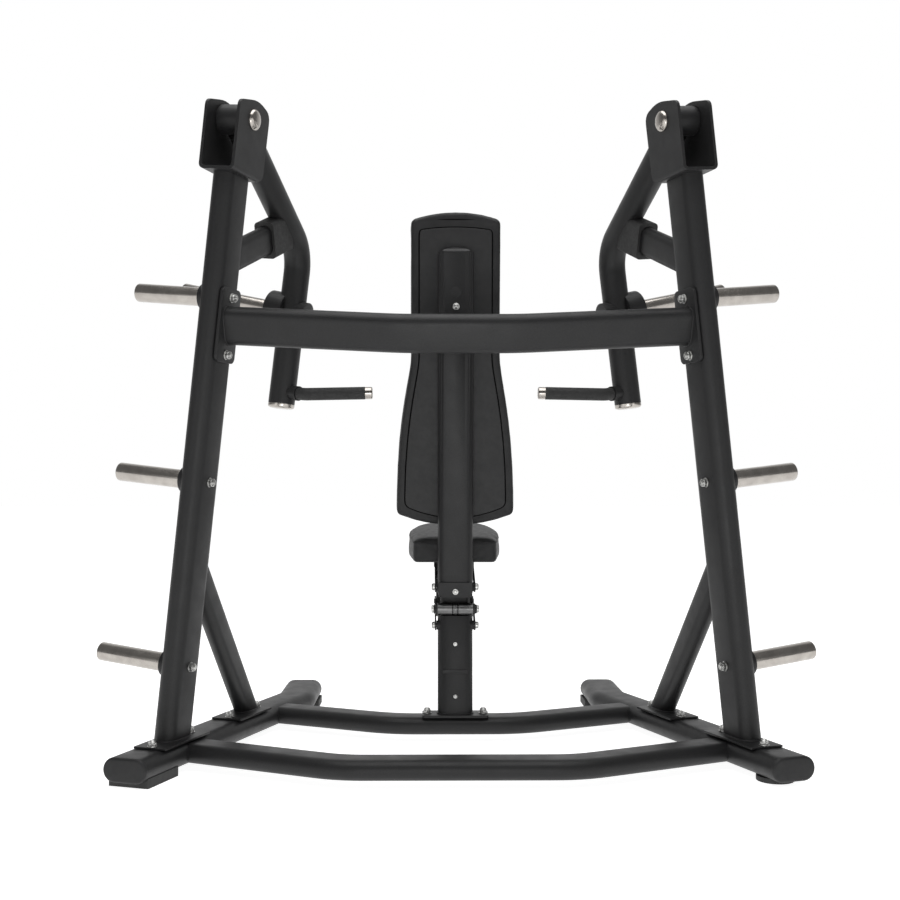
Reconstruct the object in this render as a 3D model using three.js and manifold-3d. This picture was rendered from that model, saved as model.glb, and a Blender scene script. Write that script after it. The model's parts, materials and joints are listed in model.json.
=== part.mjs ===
// A plate-loaded chest press whose two press arms swing forwards and inwards on their own pivots.
// Millimetres, +Z up. The user sits facing +Y with their back to the pad; -Y is the machine's rear.
// The plane x = 0 divides the machine into mirror halves, and the origin is on the floor.
import * as THREE from 'three';
import { mergeVertices } from 'three/addons/utils/BufferGeometryUtils.js';
import Module from 'manifold-3d';

const wasm = await Module();
wasm.setup();

// ---------------------------------------------------------------- driving dimensions
const GAP = 0.3;                 // clearance between pieces that touch
const PLAN_TURN = 18.66;         // degrees that each side frame turns in, towards the front
const LEAN = 6.31;               // degrees that each upright leans inwards

const FOOT = { high: 60, wide: 120, bottom: 13, nearX: 803, bendY: 909, farY: 1144 };
const BEAM = { thick: 50, wide: 100 };
const UPRIGHT = { thick: 60, wide: 120, fromNearEnd: 218, top: 1451.7 };
const FLANGE = 5.5;              // height of the welded foot plates' tops over the foot
const HORN = { radius: 24, collar: 34, collarThick: 15, end: 236, heights: [193, 667, 1139] };
const PIVOT = { height: 1598, shaft: 15, bore: 31, housing: 38, halfLength: 41 };
const BRACKET = { half: 50, plate: 8, bottom: 1452, top: 1648, near: -80, far: 79 };
const ARM = { toeIn: 1.25, radius: 38, elbow: [418, 1341], end: [406, 896], bend: 110 };
const LOAD = { at: [415, 1160], tilt: 6.8, drum: 55, drumFrom: 15, drumTo: 70, end: 369 };
const GRIP = { height: 930, elbow: [-70, -49, -11], heading: [-1, 0, 0.02], bend: 30, radius: 18, core: 13 };
const GRIP_RUN = { stub: 62, stubRadius: 21, to: 171, end: 192 };
const STOP = { root: 1231, angle: 24.5, high: 80, thick: 40, end: 290, rubberFrom: 241, rubberTo: 352 };
const POST = { y: 545, top: 354, backTopZ: 1386, backTopY: 404, backFootZ: 419, backFootY: 531 };
const SEAT = { rearY: 560, rearZ: 502, tilt: 5.5, thick: 69 };
const LINK = { rearY: 540, upperZ: 435, lowerZ: 326, reach: 162, rise: 53, inner: 54, outer: 58, high: 30 };
const STRUT = { footY: 610, footZ: 118, headY: 760, headZ: 458 };
const BARREL = { y: 528, z: 373, radius: 16 };
const BOLT = 7;                  // radius of the seat linkage's bolts
const ROUND = 20;                // sides of a full circle
const SHAFT_ROUND = 32;          // sides of the pivot shafts, which turn in their bearings

// ---------------------------------------------------------------- materials
const paint = (color, roughness, metalness) => new THREE.MeshStandardMaterial({ color, roughness, metalness });
const MATERIAL = {
  frame: paint(0x202123, 0.55, 0.3),
  chrome: paint(0xd8d4cf, 0.15, 1),
  steel: paint(0xb4b4b2, 0.3, 1),
  rubber: paint(0x161616, 0.85, 0),
  plastic: paint(0x1b1b1c, 0.6, 0),
  vinyl: paint(0x242425, 0.6, 0),
};

// ---------------------------------------------------------------- solids
const V2 = (x, y) => new THREE.Vector2(x, y);
const V3 = (x, y, z) => new THREE.Vector3(x, y, z);
const rad = THREE.MathUtils.degToRad;

/** A closed three.js geometry as a solid, with its faces pointing out. */
function solid(geometry, matrix = new THREE.Matrix4()) {
  const bare = geometry.clone().applyMatrix4(matrix);
  bare.deleteAttribute('normal');
  bare.deleteAttribute('uv');
  const merged = mergeVertices(bare, 1e-3);
  const points = merged.attributes.position.array;
  const corners = [];
  let volume = 0;
  for (let i = 0; i < merged.index.count; i += 3) {
    const [a, b, c] = [0, 1, 2].map((k) => merged.index.array[i + k]);
    if (a === b || b === c || c === a) continue;
    corners.push(a, b, c);
    const [p, q, r] = [a, b, c].map((k) => V3().fromArray(points, 3 * k));
    volume += p.dot(q.cross(r));
  }
  const triVerts = Uint32Array.from(volume < 0 ? corners.reverse() : corners);
  const mesh = new wasm.Mesh({ numProp: 3, vertProperties: Float32Array.from(points), triVerts });
  mesh.merge();
  return new wasm.Manifold(mesh);
}

const join = (...solids) => solids.reduce((all, next) => all.add(next));
const cut = (body, ...tools) => tools.reduce((left, tool) => left.subtract(tool), body);

function geometryOf(body) {
  const mesh = body.getMesh();
  const geometry = new THREE.BufferGeometry();
  geometry.setAttribute('position', new THREE.BufferAttribute(mesh.vertProperties, 3));
  geometry.setIndex(new THREE.BufferAttribute(mesh.triVerts, 1));
  return geometry;
}

/** The same geometry on the other side of the plane x = 0. */
function mirrored(geometry) {
  const copy = geometry.clone().scale(-1, 1, 1);
  copy.setIndex(new THREE.BufferAttribute(Uint32Array.from(copy.index.array).reverse(), 1));
  return copy;
}

// ---------------------------------------------------------------- sections and outlines
/** A flat-oval tube's outline, x wide and y high. */
function flatOval(x, y) {
  const r = Math.min(x, y) / 2;
  const [dx, dy] = [x / 2 - r, y / 2 - r];
  const shape = new THREE.Shape();
  if (dx > 0) {
    shape.absarc(dx, 0, r, -Math.PI / 2, Math.PI / 2);
    shape.absarc(-dx, 0, r, Math.PI / 2, 1.5 * Math.PI);
  } else {
    shape.absarc(0, dy, r, 0, Math.PI);
    shape.absarc(0, -dy, r, Math.PI, 2 * Math.PI);
  }
  shape.closePath();
  return shape;
}

/** A rectangle with round corners, x wide and y high, about (cx, cy). */
function roundedBox(x, y, r, cx = 0, cy = 0) {
  const [dx, dy] = [x / 2 - r, y / 2 - r];
  const shape = new THREE.Shape();
  shape.absarc(cx + dx, cy - dy, r, -Math.PI / 2, 0);
  shape.absarc(cx + dx, cy + dy, r, 0, Math.PI / 2);
  shape.absarc(cx - dx, cy + dy, r, Math.PI / 2, Math.PI);
  shape.absarc(cx - dx, cy - dy, r, Math.PI, 1.5 * Math.PI);
  shape.closePath();
  return shape;
}

/** An outline pushed along its local z, from one height to another. */
function plate(shape, from, to, matrix, curveSegments = 3) {
  const geometry = new THREE.ExtrudeGeometry(shape, { depth: to - from, bevelEnabled: false, curveSegments });
  return solid(geometry.translate(0, 0, from), matrix);
}

/** A plate whose edges are rounded over by `round`. */
function cap(shape, from, to, round, matrix, curveSegments = 4) {
  const geometry = new THREE.ExtrudeGeometry(shape, {
    depth: to - from - 2 * round, curveSegments,
    bevelThickness: round, bevelSize: round, bevelOffset: -round, bevelSegments: 2,
  });
  return solid(geometry.translate(0, 0, from + round), matrix);
}

/** A turned piece about local z, from [radius, height] pairs that start and end on the axis. */
function turned(profile, matrix, sides = ROUND) {
  const points = profile.map(([r, z]) => V2(r, z));
  return solid(new THREE.LatheGeometry(points, sides).rotateX(Math.PI / 2), matrix);
}

const bar = (radius, from, to, matrix, sides) =>
  turned([[0, from], [radius, from], [radius, to], [0, to]], matrix, sides);

/** A path of straight runs with round bends, whose steps fall where the path turns. */
class BentPath extends THREE.Curve {
  constructor(corners, radius, stepsPerBend = 4) {
    super();
    this.stations = [];
    const last = corners.length - 1;
    const heading = corners.slice(1).map((point, i) => point.clone().sub(corners[i]).normalize());
    this.stations.push([corners[0], heading[0]]);
    for (let i = 1; i < last; i += 1) {
      const [into, out] = [heading[i - 1], heading[i]];
      const turn = into.angleTo(out);
      const sideways = out.clone().addScaledVector(into, -Math.cos(turn)).normalize();
      const start = corners[i].clone().addScaledVector(into, -radius * Math.tan(turn / 2));
      for (let step = 0; step <= stepsPerBend; step += 1) {
        const angle = (turn * step) / stepsPerBend;
        const point = start.clone().addScaledVector(into, radius * Math.sin(angle));
        point.addScaledVector(sideways, radius * (1 - Math.cos(angle)));
        const tangent = into.clone().multiplyScalar(Math.cos(angle));
        this.stations.push([point, tangent.addScaledVector(sideways, Math.sin(angle))]);
      }
    }
    this.stations.push([corners[last], heading[last - 1]]);
  }
  at(u) { return this.stations[Math.round(u * (this.stations.length - 1))]; }
  getPointAt(u) { return this.at(u)[0].clone(); }
  getTangentAt(u) { return this.at(u)[1].clone(); }
}

/** A tube along corners in the local xy plane: the section's x stands across that plane. */
function tube(section, corners, matrix, radius = 0, curveSegments = 4) {
  const path = new BentPath(corners.map(([x, y]) => V3(x, y, 0)), radius);
  const options = { steps: path.stations.length - 1, extrudePath: path, curveSegments };
  return solid(new THREE.ExtrudeGeometry(section, options), matrix);
}

const circle = (radius) => flatOval(2 * radius, 2 * radius);

// ---------------------------------------------------------------- frames of reference
const [turnSin, turnCos] = [Math.sin(rad(PLAN_TURN)), Math.cos(rad(PLAN_TURN))];
const [leanSin, leanCos] = [Math.sin(rad(LEAN)), Math.cos(rad(LEAN))];
const ALONG = V3(-turnSin, turnCos, 0);
const OUT = V3(turnCos * leanCos, turnSin * leanCos, leanSin);
const UP = V3(-turnCos * leanSin, -turnSin * leanSin, leanCos);
const footTop = FOOT.bottom + FOOT.high;
const footMid = FOOT.bottom + FOOT.high / 2;
const nearEnd = V3(FOOT.nearX, 0, 0);

/** Lying on the right foot: x along it from its near end, y inwards across it, z up. */
const ON_FOOT = new THREE.Matrix4().makeBasis(ALONG, V3(-turnCos, -turnSin, 0), V3(0, 0, 1)).setPosition(nearEnd);
/** The right side frame: x along the foot, y up the upright, z out to the side. */
const uprightFoot = nearEnd.clone().addScaledVector(ALONG, UPRIGHT.fromNearEnd).setZ(footTop);
const SIDE = new THREE.Matrix4().makeBasis(ALONG, UP, OUT).setPosition(uprightFoot);
/** The right press arm's frame: the side frame, turned in about the upright's direction. */
const ARM_SIDE = SIDE.clone().multiply(new THREE.Matrix4().makeRotationY(rad(ARM.toeIn)));
/** The middle plane: x is the world's Y, y is its Z, z is its X. */
const MIDDLE = new THREE.Matrix4().makeBasis(V3(0, 1, 0), V3(0, 0, 1), V3(1, 0, 0));

/** A place in a frame, turned so that its local z looks along `direction` (in that frame). */
function placed(frame, x, y, z, direction = V3(0, 0, 1)) {
  const turn = new THREE.Quaternion().setFromUnitVectors(V3(0, 0, 1), direction.clone().normalize());
  return frame.clone().multiply(new THREE.Matrix4().compose(V3(x, y, z), turn, V3(1, 1, 1)));
}

// ---------------------------------------------------------------- the machine
const machine = new THREE.Group();

function add(name, body, material) {
  const mesh = new THREE.Mesh(geometryOf(body), material);
  mesh.name = name;
  machine.add(mesh);
}

/** One piece on the right side and its mirror image on the left. */
function addPair(name, body, material) {
  const geometry = geometryOf(body);
  for (const [side, shape] of [['right', geometry], ['left', mirrored(geometry)]]) {
    const mesh = new THREE.Mesh(shape, material);
    mesh.name = `${name}_${side}`;
    machine.add(mesh);
  }
}

// ---------------------------------------------------------------- feet and base
const CAP = 13;                  // thickness of the feet's end caps
const PAD_BLOCK = 24;            // height of the block-shaped pads, which are hollowed for the tubes
const otherSide = (body) => solid(mirrored(geometryOf(body)));

/** The feet with their end caps and the pads that they stand on, one of which is a round puck. */
function feet() {
  const bend = V2(FOOT.nearX - FOOT.bendY * Math.tan(rad(PLAN_TURN)), FOOT.bendY);
  const start = nearEnd.clone().addScaledVector(ALONG, CAP + GAP);
  const corners = [[start.x, start.y], [bend.x, bend.y], [bend.x, FOOT.farY - CAP - GAP]];
  const level = new THREE.Matrix4().makeTranslation(0, 0, footMid);
  addPair('foot_tube', tube(flatOval(FOOT.high, FOOT.wide), corners, level, 160), MATERIAL.frame);
  const section = flatOval(FOOT.wide, FOOT.high);
  const near = new THREE.Matrix4().makeBasis(V3(turnCos, turnSin, 0), V3(0, 0, 1), ALONG.clone().negate());
  near.setPosition(start.clone().addScaledVector(ALONG, -GAP).setZ(footMid));
  addPair('near_end_cap', cap(section, 0, CAP, 5, near), MATERIAL.plastic);
  const far = new THREE.Matrix4().makeBasis(V3(-1, 0, 0), V3(0, 0, 1), V3(0, 1, 0));
  far.setPosition(bend.x, FOOT.farY - CAP, footMid);
  addPair('far_end_cap', cap(section, 0, CAP, 5, far), MATERIAL.plastic);
  add('near_foot_pad_right', bar(46, 0, FOOT.bottom - GAP, placed(ON_FOOT, 80, 0, 0), 24), MATERIAL.rubber);
  const nearBlock = cut(plate(roundedBox(138, 110, 2, 89), 0, PAD_BLOCK, ON_FOOT), footCutter(GAP));
  add('near_foot_pad_left', otherSide(nearBlock), MATERIAL.rubber);
  const farEnd = placed(new THREE.Matrix4(), bend.x, FOOT.farY, 0);
  const farTube = tube(flatOval(FOOT.high + 2 * GAP, FOOT.wide + 2 * GAP), [[0, -300], [0, 50]],
    placed(farEnd, 0, 0, footMid));
  const farBlock = plate(roundedBox(124, 120, 3, 0, -75), 0, PAD_BLOCK, farEnd);
  addPair('far_foot_pad', cut(farBlock, farTube), MATERIAL.rubber);
}

/** A foot's solid, grown by `grow`, that cuts the beams which meet it. */
function footCutter(grow) {
  const corners = [[-50, 0], [1100, 0]];
  const lying = placed(ON_FOOT, 0, 0, footMid);
  return tube(flatOval(FOOT.high + 2 * grow, FOOT.wide + 2 * grow), corners, lying);
}

/** A cross beam low down between the feet, bent towards the back in its middle. */
function baseBeam(name, middleY, bendX, endX, endY, bend) {
  const level = new THREE.Matrix4().makeTranslation(0, 0, footMid);
  const corners = [[-endX, endY], [-bendX, middleY], [bendX, middleY], [endX, endY]];
  const beam = tube(flatOval(BEAM.thick, BEAM.wide), corners, level, bend);
  const right = footCutter(GAP);
  add(name, cut(beam, right, otherSide(right)), MATERIAL.frame);
}

// ---------------------------------------------------------------- side frames
/** The upright with its foot plate and the three collars that the storage horns stand on. */
function upright() {
  const section = flatOval(UPRIGHT.thick, UPRIGHT.wide);
  const post = tube(section, [[0, 5], [0, UPRIGHT.top]], SIDE);
  const foot = plate(roundedBox(222, 92, 3, UPRIGHT.fromNearEnd - 8, 8), footTop + GAP, footTop + FLANGE, ON_FOOT);
  const collars = HORN.heights.map((height) =>
    bar(HORN.collar, UPRIGHT.thick / 2 - 6, UPRIGHT.thick / 2 + HORN.collarThick, placed(SIDE, 0, height, 0)));
  return join(post, foot, ...collars);
}

/** A horn for plates: a chromed sleeve with a rounded outer end. */
function horn(from, end, matrix) {
  const r = HORN.radius;
  return turned([[0, from], [r, from], [r, end - 4], [r - 1.2, end - 1.2], [r - 4, end], [0, end]], matrix);
}

/** The U-shaped bracket on the upright's top: a floor and two ears with the shaft's holes. */
function pivotBracket() {
  const { half, plate: wall, bottom, top, near, far } = BRACKET;
  const channel = roundedBox(2 * half, 2 * (top - bottom), 14, 0, top);
  const outside = plate(channel, near - 5, far + 5, acrossFrame());
  const hollow = roundedBox(2 * (half - wall), 2 * (top - bottom - wall), 7, 0, top);
  const inside = plate(hollow, near - 10, far + 10, acrossFrame());
  const ear = new THREE.Shape();
  ear.moveTo(near, bottom - 1);
  ear.lineTo(far - 27, bottom - 1);
  ear.quadraticCurveTo(far - 4, bottom + 2, far - 2, bottom + 26);
  ear.lineTo(far, top - 36);
  ear.quadraticCurveTo(far, top - 10, far - 29, top - 6);
  ear.quadraticCurveTo(15, top + 5, -22, top - 5);
  ear.lineTo(near + 23, top - 14);
  ear.quadraticCurveTo(near, top - 18, near, top - 36);
  ear.closePath();
  const sideways = plate(ear, -half - 5, half + 5, SIDE, 5);
  const hole = bar(PIVOT.shaft + GAP, -half - 5, half + 5, placed(SIDE, 0, PIVOT.height, 0));
  return outside.subtract(inside).intersect(sideways).subtract(hole);
}

/** Looking along the foot: x out to the side, y up the upright, z back along the foot. */
function acrossFrame() {
  const turn = new THREE.Matrix4().makeBasis(V3(0, 0, 1), V3(0, 1, 0), V3(-1, 0, 0));
  return SIDE.clone().multiply(turn).multiply(new THREE.Matrix4().makeScale(1, 1, -1));
}

const uprightCutter = () =>
  tube(flatOval(UPRIGHT.thick + 2 * GAP, UPRIGHT.wide + 2 * GAP), [[0, -80], [0, UPRIGHT.top]], SIDE);

const slab = (top) => solid(new THREE.BoxGeometry(4000, 4000, 400).translate(0, 0, top - 200));

/** The brace that rises back from the foot to the upright, with its foot plate. */
function rearBrace() {
  const section = flatOval(50, 75);
  const stay = cut(tube(section, [[430, -25], [20, 448]], SIDE), uprightCutter(), slab(footTop + 3));
  const outline = roundedBox(190, 92, 3, UPRIGHT.fromNearEnd + 362, 10);
  return join(stay, plate(outline, footTop + GAP, footTop + FLANGE, ON_FOOT));
}

const stopAxis = V2(Math.cos(rad(STOP.angle)), Math.sin(rad(STOP.angle)));
const alongStop = (distance) => [stopAxis.x * distance, STOP.root + stopAxis.y * distance];

/** The short arm that carries the rubber stop. */
function stopArm() {
  const section = flatOval(STOP.thick, STOP.high);
  return cut(tube(section, [alongStop(20), alongStop(STOP.end)], SIDE), uprightCutter());
}

/** The rubber sleeve on the stop arm, hollowed for it and hollowed where the press arm rests. */
function stopRubber(armTube) {
  const sleeve = tube(roundedBox(58, 100, 12), [alongStop(STOP.rubberFrom), alongStop(STOP.rubberTo)], SIDE);
  const pocket = flatOval(STOP.thick + 3, STOP.high + 3);
  const inside = tube(pocket, [alongStop(STOP.rubberFrom - 5), alongStop(STOP.end + 1)], SIDE);
  return cut(sleeve, inside, armTube);
}

// ---------------------------------------------------------------- press arms
const armCorners = () => [[0, PIVOT.height], ARM.elbow, ARM.end];

const armRun = (radius) => tube(circle(radius), armCorners(), ARM_SIDE, ARM.bend);

const loadAxis = V3(0, Math.sin(rad(LOAD.tilt)), Math.cos(rad(LOAD.tilt)));
const loadFrame = () => placed(ARM_SIDE, ...LOAD.at, 0, loadAxis);

/** The grip's plane, with its origin at the grip's bend and x along its outer run, and the grip's root there. */
function gripPlane() {
  const root = V3(gripS(), GRIP.height, 0).applyMatrix4(ARM_SIDE);
  const back = V3(...GRIP.elbow).negate();
  const x = V3(...GRIP.heading).normalize();
  const z = x.clone().cross(back).normalize();
  const y = z.clone().cross(x);
  const frame = new THREE.Matrix4().makeBasis(x, y, z).setPosition(root.sub(back));
  return { frame, root: [back.dot(x), back.dot(y)] };
}

/** A place on the stub's axis, that far from the arm's own axis, in the grip's plane. */
function onStub(distance) {
  const { root } = gripPlane();
  return root.map((value) => value * (1 - distance / Math.hypot(...root)));
}

/** A round bar along the grip's bent axis, from a distance along the stub to a distance past the bend. */
const gripBar = (radius, from, to) =>
  tube(circle(radius), [onStub(from), [0, 0], [to, 0]], gripPlane().frame, GRIP.bend);

/** Where the arm's lower run is, along the foot, at the grip's height. */
function gripS() {
  const [[s1, t1], [s2, t2]] = [ARM.elbow, ARM.end];
  return s1 + ((s2 - s1) * (GRIP.height - t1)) / (t2 - t1);
}

/** The welded press arm: pivot housing, bent tube, load-horn socket and drum, and the grip's core. */
function pressArm() {
  const pivot = placed(SIDE, 0, PIVOT.height, 0);
  const housing = bar(PIVOT.housing, -PIVOT.halfLength, PIVOT.halfLength, pivot);
  const socket = bar(ARM.radius, -50, 0, loadFrame());
  const drum = bar(LOAD.drum, LOAD.drumFrom, LOAD.drumTo, loadFrame(), 28);
  const stub = tube(circle(GRIP_RUN.stubRadius), [onStub(0), onStub(GRIP_RUN.stub)], gripPlane().frame);
  const core = gripBar(GRIP.core, 0, GRIP_RUN.to + 12);
  const welded = join(housing, armRun(ARM.radius), socket, drum, stub, core);
  return cut(welded, bar(PIVOT.bore, -60, 60, pivot));
}

/** A bearing in one end of the pivot housing. */
function pivotBearing(end) {
  const pivot = placed(SIDE, 0, PIVOT.height, 0);
  const face = PIVOT.halfLength;
  const [from, to] = end > 0 ? [face - 18, face] : [-face, 18 - face];
  const ring = bar(PIVOT.bore - GAP, from, to, pivot);
  return cut(ring, bar(PIVOT.shaft + 0.1, from - 1, to + 1, pivot, SHAFT_ROUND));
}

/** The pivot shaft: a bar through both ears with a domed head on the inner side. */
function pivotShaft() {
  const face = BRACKET.half + GAP;
  const profile = [
    [0, -face - 11], [14, -face - 9], [24, -face - 5], [27, -face],
    [PIVOT.shaft, -face], [PIVOT.shaft, face + 6], [0, face + 6],
  ];
  return turned(profile, placed(SIDE, 0, PIVOT.height, 0), SHAFT_ROUND);
}

/** The domed cap on the shaft's outer end. */
function pivotCap() {
  const face = BRACKET.half + GAP;
  const profile = [
    [0, face + 6 + GAP], [PIVOT.shaft + GAP, face + 6 + GAP], [PIVOT.shaft + GAP, face],
    [27, face], [24, face + 6], [14, face + 10], [0, face + 12],
  ];
  return turned(profile, placed(SIDE, 0, PIVOT.height, 0));
}

/** The chromed plug in the press arm's lower end. */
function armPlug() {
  const [[s1, t1], [s2, t2]] = [ARM.elbow, ARM.end];
  const down = V3(s2 - s1, t2 - t1, 0);
  const r = ARM.radius;
  const profile = [[0, GAP], [r, GAP], [r, 8], [r - 2, 12], [r - 8, 15], [0, 16]];
  return turned(profile, placed(ARM_SIDE, ...ARM.end, 0, down));
}

/** The bent rubber sleeve of the grip. */
function gripSleeve() {
  const { stub, to } = GRIP_RUN;
  return cut(gripBar(GRIP.radius, stub + GAP, to), gripBar(GRIP.core + GAP, stub - 5, to + 5));
}

/** The chromed cap on the grip's end. */
function gripCap() {
  const { to, end } = GRIP_RUN;
  const { core } = GRIP;
  const r = GRIP.radius - 0.5;
  const profile = [
    [0, to + 12 + GAP], [core + GAP, to + 12 + GAP], [core + GAP, to + GAP],
    [r, to + GAP], [r, end - 4], [r - 3, end - 1], [0, end],
  ];
  return turned(profile, placed(gripPlane().frame, 0, 0, 0, V3(1, 0, 0)));
}

function sides() {
  addPair('upright', upright(), MATERIAL.frame);
  HORN.heights.forEach((height, i) => {
    const sleeve = horn(UPRIGHT.thick / 2 + HORN.collarThick + GAP, HORN.end, placed(SIDE, 0, height, 0));
    addPair(`storage_horn_${['low', 'middle', 'high'][i]}`, sleeve, MATERIAL.chrome);
  });
  addPair('pivot_bracket', pivotBracket(), MATERIAL.frame);
  addPair('rear_brace', rearBrace(), MATERIAL.frame);
  addPair('stop_arm', stopArm(), MATERIAL.frame);
  addPair('stop_rubber', stopRubber(armRun(ARM.radius + 0.4)), MATERIAL.rubber);
  addPair('press_arm', pressArm(), MATERIAL.frame);
  addPair('pivot_bearing_inner', pivotBearing(-1), MATERIAL.steel);
  addPair('pivot_bearing_outer', pivotBearing(1), MATERIAL.steel);
  addPair('pivot_shaft', pivotShaft(), MATERIAL.chrome);
  addPair('pivot_cap', pivotCap(), MATERIAL.chrome);
  addPair('load_horn', horn(LOAD.drumTo + GAP, LOAD.end, loadFrame()), MATERIAL.chrome);
  addPair('arm_plug', armPlug(), MATERIAL.chrome);
  addPair('grip_sleeve', gripSleeve(), MATERIAL.rubber);
  addPair('grip_cap', gripCap(), MATERIAL.chrome);
}

// ---------------------------------------------------------------- middle beam
const BEAM_TILT = 23;            // degrees that the middle beam's bend plane tips down towards the rear
const BEAM_SAG = 73;             // how far its middle stands behind its ends, in that plane
const STUB_Z = 1125;             // height of the stub between the middle beam and the back post

/** The high cross beam with its end plates, and the stub that holds the back post. */
function middleBeam() {
  const face = UPRIGHT.thick / 2 + GAP;
  const plateThick = 8;
  const meets = V3(0, 1070, -face - plateThick / 2).applyMatrix4(SIDE);
  const tilt = new THREE.Matrix4().makeRotationX(rad(BEAM_TILT)).setPosition(0, meets.y, meets.z);
  const corners = [[-meets.x, 0], [-147, -BEAM_SAG], [147, -BEAM_SAG], [meets.x, 0]];
  const beam = tube(flatOval(BEAM.wide, BEAM.thick), corners, tilt, 500);
  const right = plate(roundedBox(96, 190, 16, 0, 1070), -face - plateThick, -face, SIDE);
  const past = plate(roundedBox(400, 500, 5, 0, 1070), -face - 2, 90, SIDE);
  const stub = tube(flatOval(BEAM.wide, BEAM.thick), [[80, STUB_Z], [430, STUB_Z]], MIDDLE);
  const trimmed = cut(beam, past, otherSide(past));
  return join(trimmed, right, otherSide(right), cut(stub, backTube(GAP)));
}

// ---------------------------------------------------------------- posts
const postLean = Math.atan2(POST.backFootY - POST.backTopY, POST.backTopZ - POST.backFootZ);
const postRun = V2(Math.sin(postLean), -Math.cos(postLean));
const LID = { high: 16, across: 86, along: 29.5 };   // the back post's domed end cap and its two crown radii

/** The leaning tube behind the back pad, grown by `grow` where it cuts its neighbour. */
function backTube(grow) {
  const down = 1020;
  const foot = [POST.backTopY + postRun.x * down, POST.backTopZ + postRun.y * down];
  const section = flatOval(BEAM.wide + 2 * grow, BEAM.thick + 2 * grow);
  const head = [POST.backTopY + postRun.x * LID.high, POST.backTopZ + postRun.y * LID.high];
  return tube(section, [foot, head], MIDDLE);
}

/** A bar across the machine at (y, z), out to `reach` on both sides. */
const crossBar = (radius, y, z, reach) => bar(radius, -reach, reach, placed(MIDDLE, y, z, 0), 16);

/** The back post: a leaning tube with a domed lid, a bent foot plate and the upper pivot's bosses. */
function backPost() {
  const { backFootZ, backTopY, backTopZ } = POST;
  const [back, up] = [V3(0, postRun.y, -postRun.x), V3(0, -postRun.x, -postRun.y)];
  const top = new THREE.Matrix4().makeBasis(V3(-1, 0, 0), back, up).setPosition(0, backTopY, backTopZ);
  const pillow = [[LID.across, V3(0, 1, 0)], [LID.along, V3(1, 0, 0)]]
    .map(([radius, axis]) => bar(radius, -60, 60, placed(top, 0, 0, -radius, axis), 72));
  const lid = plate(flatOval(BEAM.wide, BEAM.thick), -LID.high - 4, 0, top, 5);
  const bent = new THREE.Shape();
  const rear = POST.backFootY - BEAM.thick / 2;
  bent.moveTo(rear - 5, backFootZ - 6);
  bent.lineTo(rear + 56, backFootZ - 6);
  bent.lineTo(rear + 56, backFootZ + 1);
  bent.lineTo(rear + 1, backFootZ + 1);
  bent.lineTo(rear - 3, backFootZ + 31);
  bent.lineTo(rear - 9, backFootZ + 31);
  const footPlate = plate(bent, -48, 48, MIDDLE);
  const boss = crossBar(13, LINK.rearY, LINK.upperZ, LINK.inner - GAP);
  const hole = crossBar(BOLT + GAP, LINK.rearY, LINK.upperZ, 80);
  const dome = lid.intersect(pillow[0]).intersect(pillow[1]);
  return cut(join(cut(backTube(0), slab(backFootZ)), dome, footPlate, boss), hole);
}

/** The seat post: foot plate, tube, the cheeks and web up to the back post, and the cross barrel. */
function seatPost() {
  const beamTop = footMid + BEAM.thick / 2;
  const foot = plate(roundedBox(188, 80, 10, 0, POST.y), beamTop + GAP, beamTop + 7, new THREE.Matrix4());
  const post = tube(flatOval(BEAM.wide, BEAM.thick), [[POST.y, beamTop + 3], [POST.y, POST.top]], MIDDLE);
  const seatTop = POST.backFootZ - 6 - GAP;
  const cheek = (x) => plate(roundedBox(40, 74, 3, POST.y + 6, seatTop - 39), x - 3, x + 3, MIDDLE);
  const saddle = plate(roundedBox(92, 54, 4, 0, POST.y - 3), seatTop - 6, seatTop, new THREE.Matrix4());
  const web = plate(roundedBox(76, 6, 1, 0, POST.y + 20), POST.top - 4, seatTop - 5, new THREE.Matrix4());
  const { y, z, radius } = BARREL;
  const barrel = turned([
    [0, -67], [10, -67], [10, -61], [13, -61], [13, -57], [radius, -56], [radius, -9], [radius - 2, -8],
    [radius - 2, 8], [radius, 9], [radius, 56], [13, 57], [13, 61], [10, 61], [10, 67], [0, 67],
  ], placed(MIDDLE, y, z, 0), 16);
  const boss = crossBar(13, LINK.rearY, LINK.lowerZ, LINK.inner - GAP);
  const hole = crossBar(BOLT + GAP, LINK.rearY, LINK.lowerZ, 80);
  const ear = (x) => plate(roundedBox(60, 34, 12, STRUT.footY - 14, STRUT.footZ), x - 2.5, x + 2.5, MIDDLE);
  const strutPin = crossBar(5, STRUT.footY, STRUT.footZ, 18);
  const welded = join(foot, post, cheek(39), cheek(-39), saddle, web, barrel, boss, ear(18), ear(-18), strutPin);
  return cut(welded, hole);
}

// ---------------------------------------------------------------- back pad
/** Behind the pad: x to the user's left, y up the post, z forwards from the post's front face. */
function padFrame() {
  const forward = V3(0, -postRun.y, postRun.x);
  const up = V3(0, -postRun.x, -postRun.y);
  const front = V3(0, POST.backTopY, POST.backTopZ).addScaledVector(forward, BEAM.thick / 2 + GAP);
  return new THREE.Matrix4().makeBasis(V3(-1, 0, 0), up, forward).setPosition(front);
}

const PAD = { top: 101, bottom: -789, shoulder: 128, hip: 169.5, panel: 8, thick: 62 };

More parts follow.
